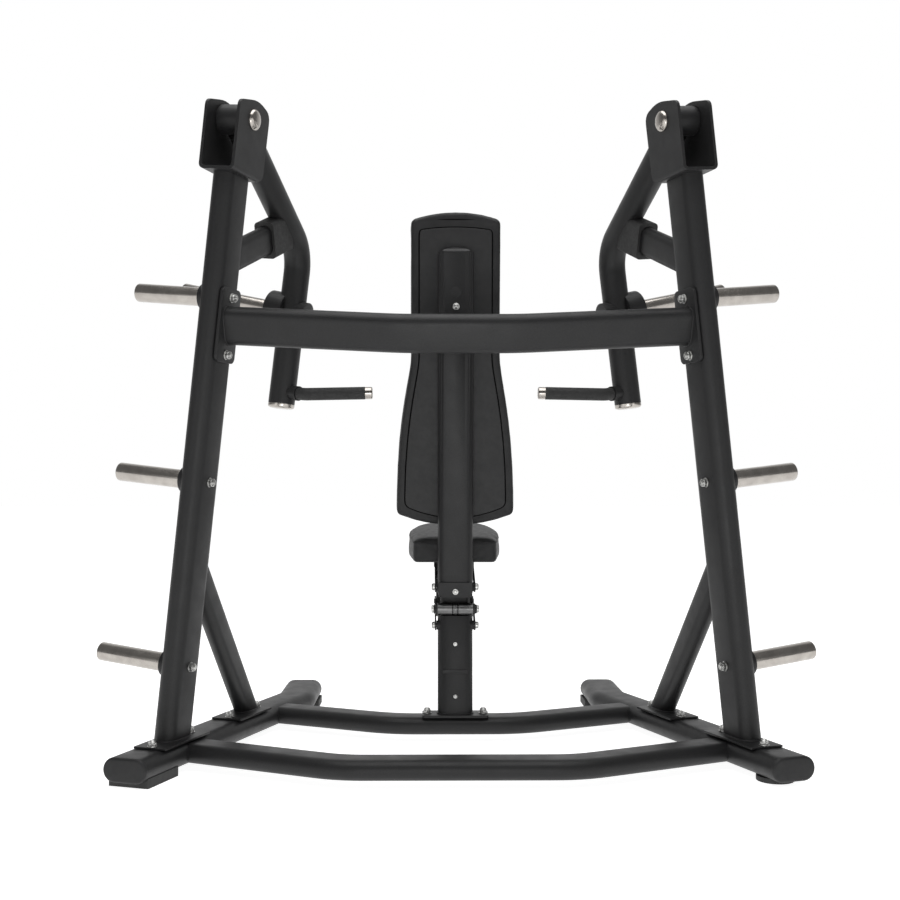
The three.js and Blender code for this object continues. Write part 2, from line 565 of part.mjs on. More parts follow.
/** The pad's outline, narrow at the shoulders and wide at the hips, drawn `inset` inside its edge. */
function padOutline(inset) {
  const [shoulder, hip] = [PAD.shoulder - inset, PAD.hip - inset];
  const [top, bottom] = [PAD.top - inset, PAD.bottom + inset];
  const neck = shoulder - 20;
  const tail = hip - 11;
  const shape = new THREE.Shape();
  shape.moveTo(neck, top - 14);
  shape.quadraticCurveTo(shoulder - 2, top - 18, shoulder, top - 33);
  shape.lineTo(shoulder, -300);
  shape.bezierCurveTo(shoulder - 2, -350, hip - 2, -465, hip, -706);
  shape.lineTo(hip, bottom + 48);
  shape.quadraticCurveTo(hip, bottom + 34, tail, bottom + 29);
  shape.quadraticCurveTo(0, bottom - 29, -tail, bottom + 29);
  shape.quadraticCurveTo(-hip, bottom + 34, -hip, bottom + 48);
  shape.lineTo(-hip, -706);
  shape.bezierCurveTo(2 - hip, -465, 2 - shoulder, -350, -shoulder, -300);
  shape.lineTo(-shoulder, top - 33);
  shape.quadraticCurveTo(2 - shoulder, top - 18, -neck, top - 14);
  shape.quadraticCurveTo(0, top + 14, neck, top - 14);
  return shape;
}

function backPad() {
  const { panel, thick } = PAD;
  add('back_panel', plate(padOutline(24), 0, panel - GAP, padFrame(), 8), MATERIAL.plastic);
  add('back_pad', cap(padOutline(0), panel, panel + thick, 12, padFrame(), 8), MATERIAL.vinyl);
}

// ---------------------------------------------------------------- seat and its linkage
/** On the seat's underside: x across, y forwards along it, z up through it. */
const SEAT_FRAME = new THREE.Matrix4().makeRotationX(rad(SEAT.tilt)).setPosition(0, SEAT.rearY, SEAT.rearZ);

function seatPad() {
  const shape = new THREE.Shape();
  shape.moveTo(-107, 0);
  shape.lineTo(107, 0);
  shape.quadraticCurveTo(120, 0, 122, 15);
  shape.lineTo(134, 110);
  shape.bezierCurveTo(142, 290, 122, 425, 0, 425);
  shape.bezierCurveTo(-122, 425, -142, 290, -134, 110);
  shape.lineTo(-122, 15);
  shape.quadraticCurveTo(-120, 0, -107, 0);
  return cap(shape, 0, SEAT.thick, 10, SEAT_FRAME, 8);
}

const linkHead = { y: LINK.rearY + LINK.reach, upperZ: LINK.upperZ + LINK.rise, lowerZ: LINK.lowerZ + LINK.rise };

/** The carriage under the seat: top plate, side plates, rear plate, pins and the strut's tab. */
function seatCarriage() {
  const { y } = linkHead;
  const deck = plate(roundedBox(104, 200, 12, 0, 160), -6 - GAP, -GAP, SEAT_FRAME);
  const side = new THREE.Shape();
  side.moveTo(y - 26, linkHead.lowerZ - 22);
  side.lineTo(y + 22, linkHead.lowerZ - 22);
  side.lineTo(y + 34, linkHead.upperZ - 6);
  side.lineTo(LEVER.y + 12, LEVER.z - 9);
  side.lineTo(LEVER.y + 12, LEVER.z + 13);
  side.lineTo(y - 36, linkHead.upperZ + 20);
  const cheek = (x) => plate(side, x - 3, x + 3, MIDDLE);
  const rear = plate(roundedBox(6, 120, 2, y - 22, linkHead.lowerZ + 50), -48, 48, MIDDLE);
  const pins = [linkHead.upperZ, linkHead.lowerZ].flatMap((z) =>
    [-1, 1].map((end) => bar(BOLT, 50, LINK.outer + 2, placed(MIDDLE, y, z, 0, V3(0, 0, end)), 16)));
  const leverPin = bar(5, 50, 68, placed(MIDDLE, LEVER.y, LEVER.z, 0), 12);
  const tab = new THREE.Shape();
  tab.moveTo(STRUT.headY + 16, STRUT.headZ + 61);
  tab.lineTo(STRUT.headY - 16, STRUT.headZ + 58);
  tab.absarc(STRUT.headY, STRUT.headZ, 16, Math.PI, 2 * Math.PI);
  tab.holes.push(new THREE.Path().absarc(STRUT.headY, STRUT.headZ, 6.5, 0, 2 * Math.PI, true));
  return join(deck, cheek(50.5), cheek(-50.5), rear, ...pins, leverPin, plate(tab, -4, 4, MIDDLE, 5));
}

/** A seat link: two side plates joined by a cross tube. */
function seatLink(rearZ) {
  const { rearY, reach, rise, inner, outer, high } = LINK;
  const middle = [rearY + reach / 2, rearZ + rise / 2];
  const slope = new THREE.Matrix4().makeRotationZ(Math.atan2(rise, reach));
  const frame = placed(MIDDLE, ...middle, 0).multiply(slope);
  const outline = flatOval(Math.hypot(reach, rise) + high, high);
  const plates = [inner, -outer].map((x) => plate(outline, x, x + outer - inner, frame, 5));
  const tie = crossBar(10, ...middle, inner + 1);
  const holes = [[rearY, rearZ], [rearY + reach, rearZ + rise]];
  return cut(join(...plates, tie), ...holes.map(([y, z]) => crossBar(BOLT + GAP, y, z, 80)));
}

/** A through bolt of the seat linkage, with a head at each end. */
function linkBolt(z) {
  const { outer } = LINK;
  const side = [[BOLT, outer + GAP], [10, outer + GAP], [10, outer + 6], [8, outer + 9], [0, outer + 9]];
  const left = side.map(([r, x]) => [r, -x]).reverse();
  return turned([...left, ...side], placed(MIDDLE, LINK.rearY, z, 0), 16);
}

/** The gas strut's frame: z runs from its foot pin to its head pin, x is the world's X. */
function strutFrame() {
  const run = V3(0, STRUT.headY - STRUT.footY, STRUT.headZ - STRUT.footZ).normalize();
  const basis = new THREE.Matrix4().makeBasis(V3(1, 0, 0), run.clone().cross(V3(1, 0, 0)), run);
  return basis.setPosition(0, STRUT.footY, STRUT.footZ);
}

const strutLength = Math.hypot(STRUT.headY - STRUT.footY, STRUT.headZ - STRUT.footZ);

function gasCylinder() {
  const frame = strutFrame();
  const eye = bar(12, -7, 7, placed(frame, 0, 0, 0, V3(1, 0, 0)), 16);
  const pinHole = bar(5 + GAP, -9, 9, placed(frame, 0, 0, 0, V3(1, 0, 0)), 16);
  const body = turned([[0, 6], [9, 6], [14, 20], [14, 186], [10, 190], [0, 190]], frame);
  return cut(join(eye, body), pinHole, bar(5.4, 34, 200, frame, 16));
}

function gasRod() {
  const frame = strutFrame();
  const rod = bar(5, 150, strutLength - 28, frame, 12);
  const block = bar(12, strutLength - 40, strutLength - 24, frame, 16);
  const cheek = (x) => plate(roundedBox(4, 40, 1.5, x, 0), -9, 9,
    placed(frame, 0, 0, strutLength - 10).multiply(new THREE.Matrix4().makeRotationX(Math.PI / 2)));
  const pin = bar(4.5, -9, 9, placed(frame, 0, 0, strutLength, V3(1, 0, 0)), 12);
  return join(rod, block, cheek(8), cheek(-8), pin);
}

const LEVER = { y: 790, z: 508, endY: 900, endZ: 520 };

/** The lever under the seat's right side that frees the gas strut. */
function releaseLever() {
  const middle = [(LEVER.y + LEVER.endY) / 2, (LEVER.z + LEVER.endZ) / 2];
  const run = [LEVER.endY - LEVER.y, LEVER.endZ - LEVER.z];
  const turn = new THREE.Matrix4().makeRotationZ(Math.atan2(run[1], run[0]));
  const frame = placed(MIDDLE, ...middle, 0).multiply(turn);
  const blade = plate(flatOval(Math.hypot(...run) + 22, 22), 62, 67, frame, 4);
  const knob = turned([[0, 65], [7, 65], [9, 72], [9, 115], [5, 121], [0, 122]],
    placed(MIDDLE, LEVER.endY, LEVER.endZ, 0), 16);
  return cut(join(blade, knob), bar(5 + GAP, 55, 75, placed(MIDDLE, LEVER.y, LEVER.z, 0), 12));
}

function seat() {
  add('seat_pad', seatPad(), MATERIAL.vinyl);
  add('seat_carriage', seatCarriage(), MATERIAL.frame);
  add('seat_link_upper', seatLink(LINK.upperZ), MATERIAL.frame);
  add('seat_link_lower', seatLink(LINK.lowerZ), MATERIAL.frame);
  add('seat_bolt_upper', linkBolt(LINK.upperZ), MATERIAL.steel);
  add('seat_bolt_lower', linkBolt(LINK.lowerZ), MATERIAL.steel);
  add('gas_cylinder', gasCylinder(), MATERIAL.plastic);
  add('gas_rod', gasRod(), MATERIAL.steel);
  add('release_lever', releaseLever(), MATERIAL.frame);
}

// ---------------------------------------------------------------- assembly
feet();
baseBeam('near_base_beam', 32, 287, 700, 230, 250);
baseBeam('far_base_beam', 553, 175, 560, 734, 300);
sides();
add('middle_beam', middleBeam(), MATERIAL.frame);
add('back_post', backPost(), MATERIAL.frame);
add('seat_post', seatPost(), MATERIAL.frame);
backPad();
seat();
const box = new THREE.Box3().setFromObject(machine);
machine.position.y = -(box.min.y + box.max.y) / 2;
export default machine;
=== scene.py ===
import json
import math

import bmesh
import bpy
import numpy as np
from mathutils import Matrix, Vector


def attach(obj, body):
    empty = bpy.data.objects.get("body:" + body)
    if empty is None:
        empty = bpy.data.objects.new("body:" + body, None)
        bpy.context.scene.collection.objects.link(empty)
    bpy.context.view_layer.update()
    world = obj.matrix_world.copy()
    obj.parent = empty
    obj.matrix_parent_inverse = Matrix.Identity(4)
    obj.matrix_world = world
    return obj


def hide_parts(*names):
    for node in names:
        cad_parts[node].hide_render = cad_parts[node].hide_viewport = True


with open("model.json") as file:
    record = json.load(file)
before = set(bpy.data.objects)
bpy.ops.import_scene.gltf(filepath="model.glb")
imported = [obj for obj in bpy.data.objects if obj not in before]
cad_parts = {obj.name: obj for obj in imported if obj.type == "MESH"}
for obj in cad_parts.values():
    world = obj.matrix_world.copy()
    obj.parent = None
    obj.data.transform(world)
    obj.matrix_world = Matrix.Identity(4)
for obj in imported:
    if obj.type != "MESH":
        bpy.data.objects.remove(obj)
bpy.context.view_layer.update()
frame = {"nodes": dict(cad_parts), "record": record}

NODES = frame["nodes"]
BEHAVIOUR = frame["record"]["behaviour"]
BODY = {node: body for body, members in BEHAVIOUR["bodies"].items() for node in members}
SLOT = {part["node"]: part["material_slot"] for part in frame["record"]["subparts"]}
MM = 0.001

# ------------------------------------------------------------ dimensions, in millimetres
# Places along y are given from the near end of the feet; the model's middle is CENTRE_Y beyond it.
CENTRE_Y = 563.0
GAP = 0.3
PLAN_TURN = math.radians(18.66)
LEAN = math.radians(6.31)
NEAR_X, FAR_Y = 803, 1144
FOOT_BOTTOM, FOOT_MID, FOOT_TOP = 13, 43, 73
FOOT_BEND_Y, FOOT_BEND_RADIUS = 909, 160
FLANGE_TOP = FOOT_TOP + 5.5
CAP = 13
UPRIGHT_S, UPRIGHT_TOP = 218, 1451.7
PIVOT_HEIGHT, PIVOT_FACE = 1598, 50
HORN_HEIGHTS = {"low": 193, "middle": 667, "high": 1139}
HORN_START, HORN_END = 45.3, 236
LOAD_AT = (415, 1160)
LOAD_TILT = math.radians(6.8)
LOAD_START, LOAD_END = 70.3, 369
GRIP_HEIGHT = 930
# From the arm's axis to the grip's bend, and the way the grip runs on from there, along the model's axes.
GRIP_BEND, GRIP_HEADING = Vector((-70, -49, -11)), Vector((-1, 0, 0.02))
GRIP_BEND_RADIUS = 30
GRIP_STUB, GRIP_TO, GRIP_END = 62, 171, 192
ARM_TOE = math.radians(1.25)
ARM_RADIUS, ARM_BEND_RADIUS = 38, 110
ARM_ELBOW, ARM_END = (418, 1341), (406, 896)
STOP_ROOT, STOP_ANGLE = 1231, math.radians(24.5)
BEAM_HEIGHT, BEAM_PLATE_FACE, BEAM_TURN = 1070, -38.3, math.radians(23)
BEAM_BEND, BEAM_BEND_RADIUS = (147, -73), 500
STUB_HEIGHT = 1125
BACK_TOP = (404, 1386)
BACK_FOOT = (531, 419)
BACK_POST_HALF = 25
POST_REAR_Y, POST_Y = 520, 545
BARREL_AT = (528, 373)
SEAT_REAR = (560, 502)
SEAT_TILT = math.radians(5.5)
PANEL_THICK = 8
PIPING_LEVEL = 58

# ------------------------------------------------------------ frames of reference
SIN, COS = math.sin(PLAN_TURN), math.cos(PLAN_TURN)
LEAN_SIN, LEAN_COS = math.sin(LEAN), math.cos(LEAN)
ALONG = Vector((-SIN, COS, 0))
OUT = Vector((COS * LEAN_COS, SIN * LEAN_COS, LEAN_SIN))
UP = Vector((-COS * LEAN_SIN, -SIN * LEAN_SIN, LEAN_COS))
NEAR_END = Vector((NEAR_X, -CENTRE_Y, 0))


def basis(x, y, z, origin):
    """A frame with those three axes at that origin."""
    turn = Matrix((x, y, z)).transposed().to_4x4()
    return Matrix.Translation(origin) @ turn


UPRIGHT_FOOT = NEAR_END + ALONG * UPRIGHT_S + Vector((0, 0, FOOT_TOP))
SIDE = basis(ALONG, UP, OUT, UPRIGHT_FOOT)
ARM_SIDE = SIDE @ Matrix.Rotation(ARM_TOE, 4, "Y")
ON_FOOT = basis(ALONG, Vector((-COS, -SIN, 0)), Vector((0, 0, 1)), NEAR_END)
MIDDLE = basis(Vector((0, 1, 0)), Vector((0, 0, 1)), Vector((1, 0, 0)), Vector((0, -CENTRE_Y, 0)))
POST_UP = Vector((0, BACK_TOP[0] - BACK_FOOT[0], BACK_TOP[1] - BACK_FOOT[1])).normalized()
POST_FORWARD = Vector((0, POST_UP.z, -POST_UP.y))
BACK_FRAME = basis(
    Vector((-1, 0, 0)), POST_UP, POST_FORWARD,
    Vector((0, BACK_TOP[0] - CENTRE_Y, BACK_TOP[1])) + POST_FORWARD * (BACK_POST_HALF + GAP),
)
SEAT_BACK = Vector((0, SEAT_REAR[0] - CENTRE_Y, SEAT_REAR[1]))
SEAT_FRAME = Matrix.Translation(SEAT_BACK) @ Matrix.Rotation(SEAT_TILT, 4, "X")


def looking(frame_matrix, x, y, z, direction=(0, 0, 1)):
    """A place in a frame, turned so that its z looks along direction."""
    turn = Vector((0, 0, 1)).rotation_difference(Vector(direction)).to_matrix().to_4x4()
    return frame_matrix @ Matrix.Translation((x, y, z)) @ turn


# ------------------------------------------------------------ shapes: (points, faces)
def join(*shapes):
    """Several shapes as one."""
    points, faces = [], []
    for shape_points, shape_faces in shapes:
        base = len(points)
        points += shape_points
        faces += [[base + i for i in face] for face in shape_faces]
    return points, faces


def mirrored(shape):
    """A shape for the other side of the machine."""
    points, faces = shape
    return [Vector((-p.x, p.y, p.z)) for p in points], [face[::-1] for face in faces]


def band(low, high, size):
    """Faces between two rings of size points, which start at numbers low and high."""
    after = [(i + 1) % size for i in range(size)]
    return [[low + i, low + j, high + j, high + i] for i, j in enumerate(after)]


def loft(rings):
    """A closed skin through rings of equal size, with a flat face at each end."""
    size = len(rings[0])
    last = (len(rings) - 1) * size
    faces = [list(range(size))[::-1]]
    for low in range(0, last, size):
        faces += band(low, low + size, size)
    faces.append([last + i for i in range(size)])
    return [p for ring in rings for p in ring], faces


def looped(rings):
    """A closed skin through rings of equal size, the last joined to the first."""
    size = len(rings[0])
    count = len(rings)
    faces = []
    for k in range(count):
        faces += band(k * size, (k + 1) % count * size, size)
    return [p for ring in rings for p in ring], faces


def arc(cx, cy, radius, start, end, steps):
    """Points on an arc, angles in degrees."""
    angles = [math.radians(start + (end - start) * i / steps) for i in range(steps + 1)]
    return [(cx + radius * math.cos(a), cy + radius * math.sin(a)) for a in angles]


def oval(x, y, steps=12):
    """A flat-oval outline, x wide and y high."""
    r = min(x, y) / 2
    dx, dy = x / 2 - r, y / 2 - r
    if dx > 0:
        return arc(dx, 0, r, -90, 90, steps) + arc(-dx, 0, r, 90, 270, steps)
    if dy > 0:
        return arc(0, dy, r, 0, 180, steps) + arc(0, -dy, r, 180, 360, steps)
    return arc(0, 0, r, 0, 360, 4 * steps)[:-1]


def box(x, y, r, cx=0, cy=0, steps=6):
    """A rectangle with round corners about (cx, cy)."""
    dx, dy = x / 2 - r, y / 2 - r
    places = [(dx, -dy, -90), (dx, dy, 0), (-dx, dy, 90), (-dx, -dy, 180)]
    return [p for px, py, a in places for p in arc(cx + px, cy + py, r, a, a + 90, steps)]


def inset(outline, amount):
    """An anticlockwise outline drawn that far inside itself."""
    ring = np.array(outline)
    before = ring - np.roll(ring, 1, 0)
    after = np.roll(ring, -1, 0) - ring
    before /= np.maximum(np.linalg.norm(before, axis=1), 1e-9)[:, None]
    after /= np.maximum(np.linalg.norm(after, axis=1), 1e-9)[:, None]
    run = before + after
    run /= np.maximum(np.linalg.norm(run, axis=1), 1e-9)[:, None]
    inwards = np.stack([-run[:, 1], run[:, 0]], 1)
    lengthen = 1 / np.maximum((before * run).sum(1), 0.5)
    return [tuple(p) for p in ring + inwards * (amount * lengthen)[:, None]]


def stacked(outline, levels, matrix):
    """An outline pushed along z through (inset, height) levels."""
    rings = []
    for amount, z in levels:
        rings.append([matrix @ Vector((x, y, z)) for x, y in inset(outline, amount)])
    return loft(rings)


def plate(outline, low, high, matrix, edge=1.2):
    """A plate whose two rims are rounded over by edge."""
    rim = [(edge * (1 - math.sin(a)), edge * (1 - math.cos(a))) for a in (0, 0.5, 1.05, math.pi / 2)]
    levels = [(i, low + h) for i, h in rim] + [(i, high - h) for i, h in rim[::-1]]
    return stacked(outline, levels, matrix)


def domed(outline, low, high, round_by, matrix, steps=6):
    """A plug whose far rim is rounded over."""
    turns = [math.pi / 2 * k / steps for k in range(steps + 1)]
    rim = [(round_by * (1 - math.cos(a)), high - round_by * (1 - math.sin(a))) for a in turns]
    return stacked(outline, [(0, low)] + rim, matrix)


def run_of(corners, radius, steps=10):
    """Stations (point, heading) along straight runs with round bends."""
    points = [Vector(c) for c in corners]
    heading = [(b - a).normalized() for a, b in zip(points, points[1:])]
    stations = [(points[0], heading[0])]
    for corner, into, out in zip(points[1:], heading, heading[1:]):
        turn = into.angle(out)
        sideways = (out - into * math.cos(turn)).normalized()
        start = corner - into * radius * math.tan(turn / 2)
        for k in range(steps + 1):
            a = turn * k / steps
            place = start + into * radius * math.sin(a) + sideways * radius * (1 - math.cos(a))
            stations.append((place, into * math.cos(a) + sideways * math.sin(a)))
    stations.append((points[-1], heading[-1]))
    return stations


def swept(outline, stations, matrix):
    """A ring of points at each station: the outline's x stands across the plane of the path."""
    return [
        [matrix @ Vector((place.x - ahead.y * v, place.y + ahead.x * v, u)) for u, v in outline]
        for place, ahead in stations
    ]


def tube(outline, corners, matrix, radius=1, slant=None):
    """A section swept along corners in a plane: the section's x stands across the plane.
    slant is a (place, normal) plane for each end, which that end slides along the tube to meet."""
    stations = run_of(corners, radius)
    rings = swept(outline, stations, matrix)
    for end, plane in zip((0, -1), slant or ()):
        ahead = (matrix.to_3x3() @ Vector((*stations[end][1][:2], 0))).normalized()
        rings[end] = [meet(p, ahead, *plane) for p in rings[end]]
    return loft(rings)


def meet(point, ahead, place, normal):
    """Where a line from point along ahead goes through a plane."""
    return point + ahead * ((place - point).dot(normal) / ahead.dot(normal))


def rope(points, radius, sides=10):
    """A closed loop of round cord through points."""
    count = len(points)
    centre = sum(points, Vector()) / count
    following = points[1:] + points[:1]
    ahead = [(following[i] - points[i - 1]).normalized() for i in range(count)]
    turns = [(a - centre).cross(b - centre) for a, b in zip(points, following)]
    axis = sum(turns, Vector()).normalized()
    faces = []
    for i in range(count):
        a, b = i * sides, (i + 1) % count * sides
        faces += [[a + k, a + (k + 1) % sides, b + (k + 1) % sides, b + k] for k in range(sides)]
    skin = []
    for place, run in zip(points, ahead):
        out = run.cross(axis).normalized()
        up = out.cross(run).normalized()
        for k in range(sides):
            a = 2 * math.pi * k / sides
            skin.append(place + out * (radius * math.cos(a)) + up * (radius * math.sin(a)))
    return skin, faces


def weld(outline, matrix, place, normal, radius=2.6):
    """A fillet weld round a tube, whose section lies across matrix's z, where it meets a plane."""
    ahead = (matrix.to_3x3() @ Vector((0, 0, 1))).normalized()
    section = [matrix @ Vector((x, y, 0)) for x, y in inset(outline, -0.4 * radius)]
    return rope([meet(p, ahead, place, normal) for p in section], radius)


def circle(matrix, radius, z, sides=48):
    """A ring of points about the z of matrix."""
    angles = [2 * math.pi * i / sides for i in range(sides)]
    return [matrix @ Vector((radius * math.cos(a), radius * math.sin(a), z)) for a in angles]


def hexagon(matrix, radius, z, sides=36):
    """A hexagon about the z of matrix, radius being half its width across flats."""
    points = []
    for i in range(sides):
        a = 2 * math.pi * i / sides
        reach = radius / math.cos((a + math.pi / 6) % (math.pi / 3) - math.pi / 6)
        points.append(matrix @ Vector((reach * math.cos(a), reach * math.sin(a), z)))
    return points


def turned(profile, matrix):
    """A turned piece about z from (radius, height) pairs."""
    return loft([circle(matrix, r, z) for r, z in profile])


def pipe(outer, inner, low, high, matrix):
    """An open-ended sleeve about z."""
    outside = [(outer - 1, low), (outer, low + 1), (outer, high - 1), (outer - 1, high)]
    profile = [(inner, low)] + outside + [(inner, high)]
    return looped([circle(matrix, r, z) for r, z in profile])


def eased(radius, low, high, ease_low, ease_high, steps=4):
    """A cylinder's profile with its two rims rounded over."""
    turns = [math.pi / 2 * k / steps for k in range(steps + 1)]
    rounding = [(1 - math.sin(a), 1 - math.cos(a)) for a in turns]
    foot = [(radius - ease_low * i, low + ease_low * h) for i, h in rounding]
    head = [(radius - ease_high * i, high - ease_high * h) for i, h in rounding]
    return foot + head[::-1]


# ------------------------------------------------------------ pieces
def settle(obj, angle=32):
    """Smooth shading with sharp edges kept where faces meet steeply."""
    obj.data.shade_smooth()
    obj.data.set_sharp_from_angle(angle=math.radians(angle))


def mesh_object(name, shape):
    """A shape in millimetres as an object in metres, its faces turned outwards."""
    points, faces = shape
    mesh = bpy.data.meshes.new(name)
    mesh.from_pydata([tuple(p * MM) for p in points], [], faces)
    work = bmesh.new()
    work.from_mesh(mesh)
    bmesh.ops.recalc_face_normals(work, faces=work.faces)
    work.to_mesh(mesh)
    work.free()
    obj = bpy.data.objects.new(name, mesh)
    bpy.context.scene.collection.objects.link(obj)
    return obj


def piece(name, shape, body, slot, material=None):
    """A finished piece that rides on a body; its material is the slot's own unless one is given."""
    obj = mesh_object(name, shape)
    settle(obj)
    obj.data.materials.append(material or MATERIALS[slot])
    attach(obj, body)
    return obj


def stand_for(node, shape, material=None):
    """A fine piece in place of a CAD node."""
    obj = piece(f"{node}_skin", shape, BODY[node], SLOT[node], material)
    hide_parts(node)
    return obj


def stand_for_pair(node, shape):
    """A fine piece in place of the right CAD node, and its mirror image in place of the left."""
    stand_for(f"{node}_right", shape)
    stand_for(f"{node}_left", mirrored(shape))


def refine(node, bevel=1.0, material=None):
    """The CAD node's own faces with merged points, bevelled edges and smooth shading."""
    mesh = NODES[node].data.copy()
    obj = bpy.data.objects.new(f"{node}_skin", mesh)
    bpy.context.scene.collection.objects.link(obj)
    work = bmesh.new()
    work.from_mesh(mesh)
    bmesh.ops.remove_doubles(work, verts=work.verts, dist=2e-5)
    flat = math.radians(1.0)
    bmesh.ops.dissolve_limit(work, angle_limit=flat, verts=work.verts, edges=work.edges)
    work.to_mesh(mesh)
    work.free()
    if bevel:
        rim = obj.modifiers.new("rim", "BEVEL")
        rim.width = bevel * MM
        rim.segments = 2
        rim.limit_method = "ANGLE"
        rim.angle_limit = math.radians(40)
        rim.use_clamp_overlap = True
    settle(obj)
    mesh.materials.clear()
    mesh.materials.append(material or MATERIALS[SLOT[node]])
    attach(obj, BODY[node])
    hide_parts(node)
    return obj


# ------------------------------------------------------------ materials
NOISE_SPAN = (0.3, 0.7)


def set_range(node, start, end, low, high):
    """Makes a Map Range node map start..end to low..high."""
    for key, number in (("From Min", start), ("From Max", end), ("To Min", low), ("To Max", high)):
        node.inputs[key].default_value = number


class Shader:
    """A Principled material and the procedural nodes that feed it."""

    def __init__(self, name):
        self.material = bpy.data.materials.new(name)
        self.material.use_nodes = True
        self.tree = self.material.node_tree
        self.surface = self.tree.nodes["Principled BSDF"]
        self.place = self.tree.nodes.new("ShaderNodeTexCoord").outputs["Object"]
        self.normal = None

    def set(self, **values):
        """Sets the shader's own sockets; an underscore stands for a space in their names."""
        for key, value in values.items():
            self.surface.inputs[key.replace("_", " ")].default_value = value

    def node(self, kind, **settings):
        """A new node with those sockets or properties set."""
        made = self.tree.nodes.new(kind)
        for key, value in settings.items():
            if key in made.inputs:
                made.inputs[key].default_value = value
            else:
                setattr(made, key, value)
        return made

    def link(self, output, target):
        self.tree.links.new(output, target)

    def noise(self, scale, detail=2.0, roughness=0.5):
        """Noise in the object's own space; scale is in features per metre."""
        made = self.node("ShaderNodeTexNoise", Scale=scale, Detail=detail, Roughness=roughness)
        self.link(self.place, made.inputs["Vector"])
        return made.outputs["Fac"]

    def cells(self, scale, feature="F1"):
        """The distances of a cell pattern; scale is in cells per metre."""
        made = self.node("ShaderNodeTexVoronoi", Scale=scale)
        made.feature = feature
        self.link(self.place, made.inputs["Vector"])
        return made.outputs["Distance"]

    def tint(self, value, low, high):
        """The base colour from low to high over the middle of value's range."""
        ramp = self.node("ShaderNodeValToRGB")
        for element, place, colour in zip(ramp.color_ramp.elements, NOISE_SPAN, (low, high)):
            element.position = place
            element.color = (*colour, 1)
        self.link(value, ramp.inputs["Fac"])
        self.link(ramp.outputs["Color"], self.surface.inputs["Base Color"])

    def rough(self, value, low, high):
        """The roughness from low to high over the middle of value's range."""
        made = self.node("ShaderNodeMapRange")
        set_range(made, *NOISE_SPAN, low, high)
        self.link(value, made.inputs["Value"])
        self.link(made.outputs["Result"], self.surface.inputs["Roughness"])

    def bump(self, height, depth, strength=1.0):
        """Raises the surface by depth metres where height goes from 0 to 1."""
        made = self.node("ShaderNodeBump", Strength=strength, Distance=depth)
        self.link(height, made.inputs["Height"])
        if self.normal:
            self.link(self.normal, made.inputs["Normal"])
        self.normal = made.outputs["Normal"]
        self.link(self.normal, self.surface.inputs["Normal"])


def powder_coat():
    """Black paint with a fine texture."""
    s = Shader("satin_powder_coat")
    s.set(Metallic=0.0, Specular_IOR_Level=0.28, Coat_Weight=0.04, Coat_Roughness=0.35)
    s.tint(s.noise(420, 3, 0.7), (0.0085, 0.0085, 0.0089), (0.0170, 0.0170, 0.0175))
    s.rough(s.noise(24, 4), 0.42, 0.52)
    s.bump(s.noise(480, 3), 0.00016, 0.6)
    return s.material


def chrome():
    """The horns' chromed sleeves, slightly warm in colour."""
    s = Shader("warm_chrome")
    s.set(Metallic=1.0, Anisotropic=0.3)
    s.tint(s.noise(40, 3), (0.36, 0.335, 0.31), (0.44, 0.415, 0.385))
    s.rough(s.noise(30, 2), 0.19, 0.26)
    s.bump(s.noise(60, 2), 0.00003, 0.3)
    return s.material


def dull_steel():
    """Bare grey steel."""
    s = Shader("dull_grey_steel")
    s.set(Metallic=1.0)
    s.tint(s.noise(50, 3), (0.13, 0.13, 0.13), (0.19, 0.19, 0.19))
    s.rough(s.noise(200, 3), 0.34, 0.44)
    s.bump(s.noise(700, 2), 0.00001, 0.4)
    return s.material


def painted_shadow_finish():
    """Painted shadow: a near-black finish that stands in for the shade inside a narrow gap."""
    s = Shader("painted_shadow_finish")
    s.set(Base_Color=(0.0012, 0.0012, 0.0012, 1), Specular_IOR_Level=0.05)
    s.rough(s.noise(200, 2), 0.85, 0.95)
    return s.material


def steel():
    """Zinc-plated bolts, nuts and shafts."""
    s = Shader("satin_steel")
    s.set(Metallic=1.0)
    s.tint(s.noise(50, 3), (0.48, 0.48, 0.47), (0.60, 0.60, 0.58))
    s.rough(s.noise(400, 3), 0.24, 0.36)
    s.bump(s.noise(1500, 2), 0.00001, 0.4)
    return s.material


def rubber():
    """Black rubber with a fine grain."""
    s = Shader("moulded_rubber")
    s.tint(s.noise(30, 3), (0.010, 0.010, 0.010), (0.016, 0.016, 0.016))
    s.rough(s.noise(120, 3), 0.62, 0.78)
    s.bump(s.noise(1300, 3), 0.00008, 0.6)
    return s.material


def foot_rubber():
    """The pads under the feet, greyer with dust."""
    s = Shader("dusty_foot_rubber")
    s.tint(s.noise(60, 4), (0.022, 0.022, 0.022), (0.040, 0.040, 0.040))
    s.rough(s.noise(120, 3), 0.70, 0.85)
    s.bump(s.noise(900, 3), 0.0001, 0.6)
    return s.material


def plastic():
    """Black plastic with a moulded grain."""
    s = Shader("grained_plastic")
    s.set(Specular_IOR_Level=0.35)
    s.tint(s.noise(25, 2), (0.0125, 0.0125, 0.0130), (0.0165, 0.0165, 0.0170))
    s.rough(s.noise(90, 3), 0.48, 0.60)
    s.bump(s.cells(1100), 0.00007, 0.5)
    return s.material


def upholstery():
    """Black vinyl with a leather grain and soft unevenness."""
    s = Shader("black_vinyl")
    s.set(Specular_IOR_Level=0.28, Sheen_Weight=0.05, Sheen_Roughness=0.4)
    s.tint(s.noise(18, 4), (0.0105, 0.0105, 0.0110), (0.0165, 0.0165, 0.0170))
    s.rough(s.noise(70, 4), 0.46, 0.60)
    s.bump(s.noise(55, 3), 0.0005, 0.25)
    s.bump(s.cells(480, "DISTANCE_TO_EDGE"), 0.00012, 0.6)
    return s.material
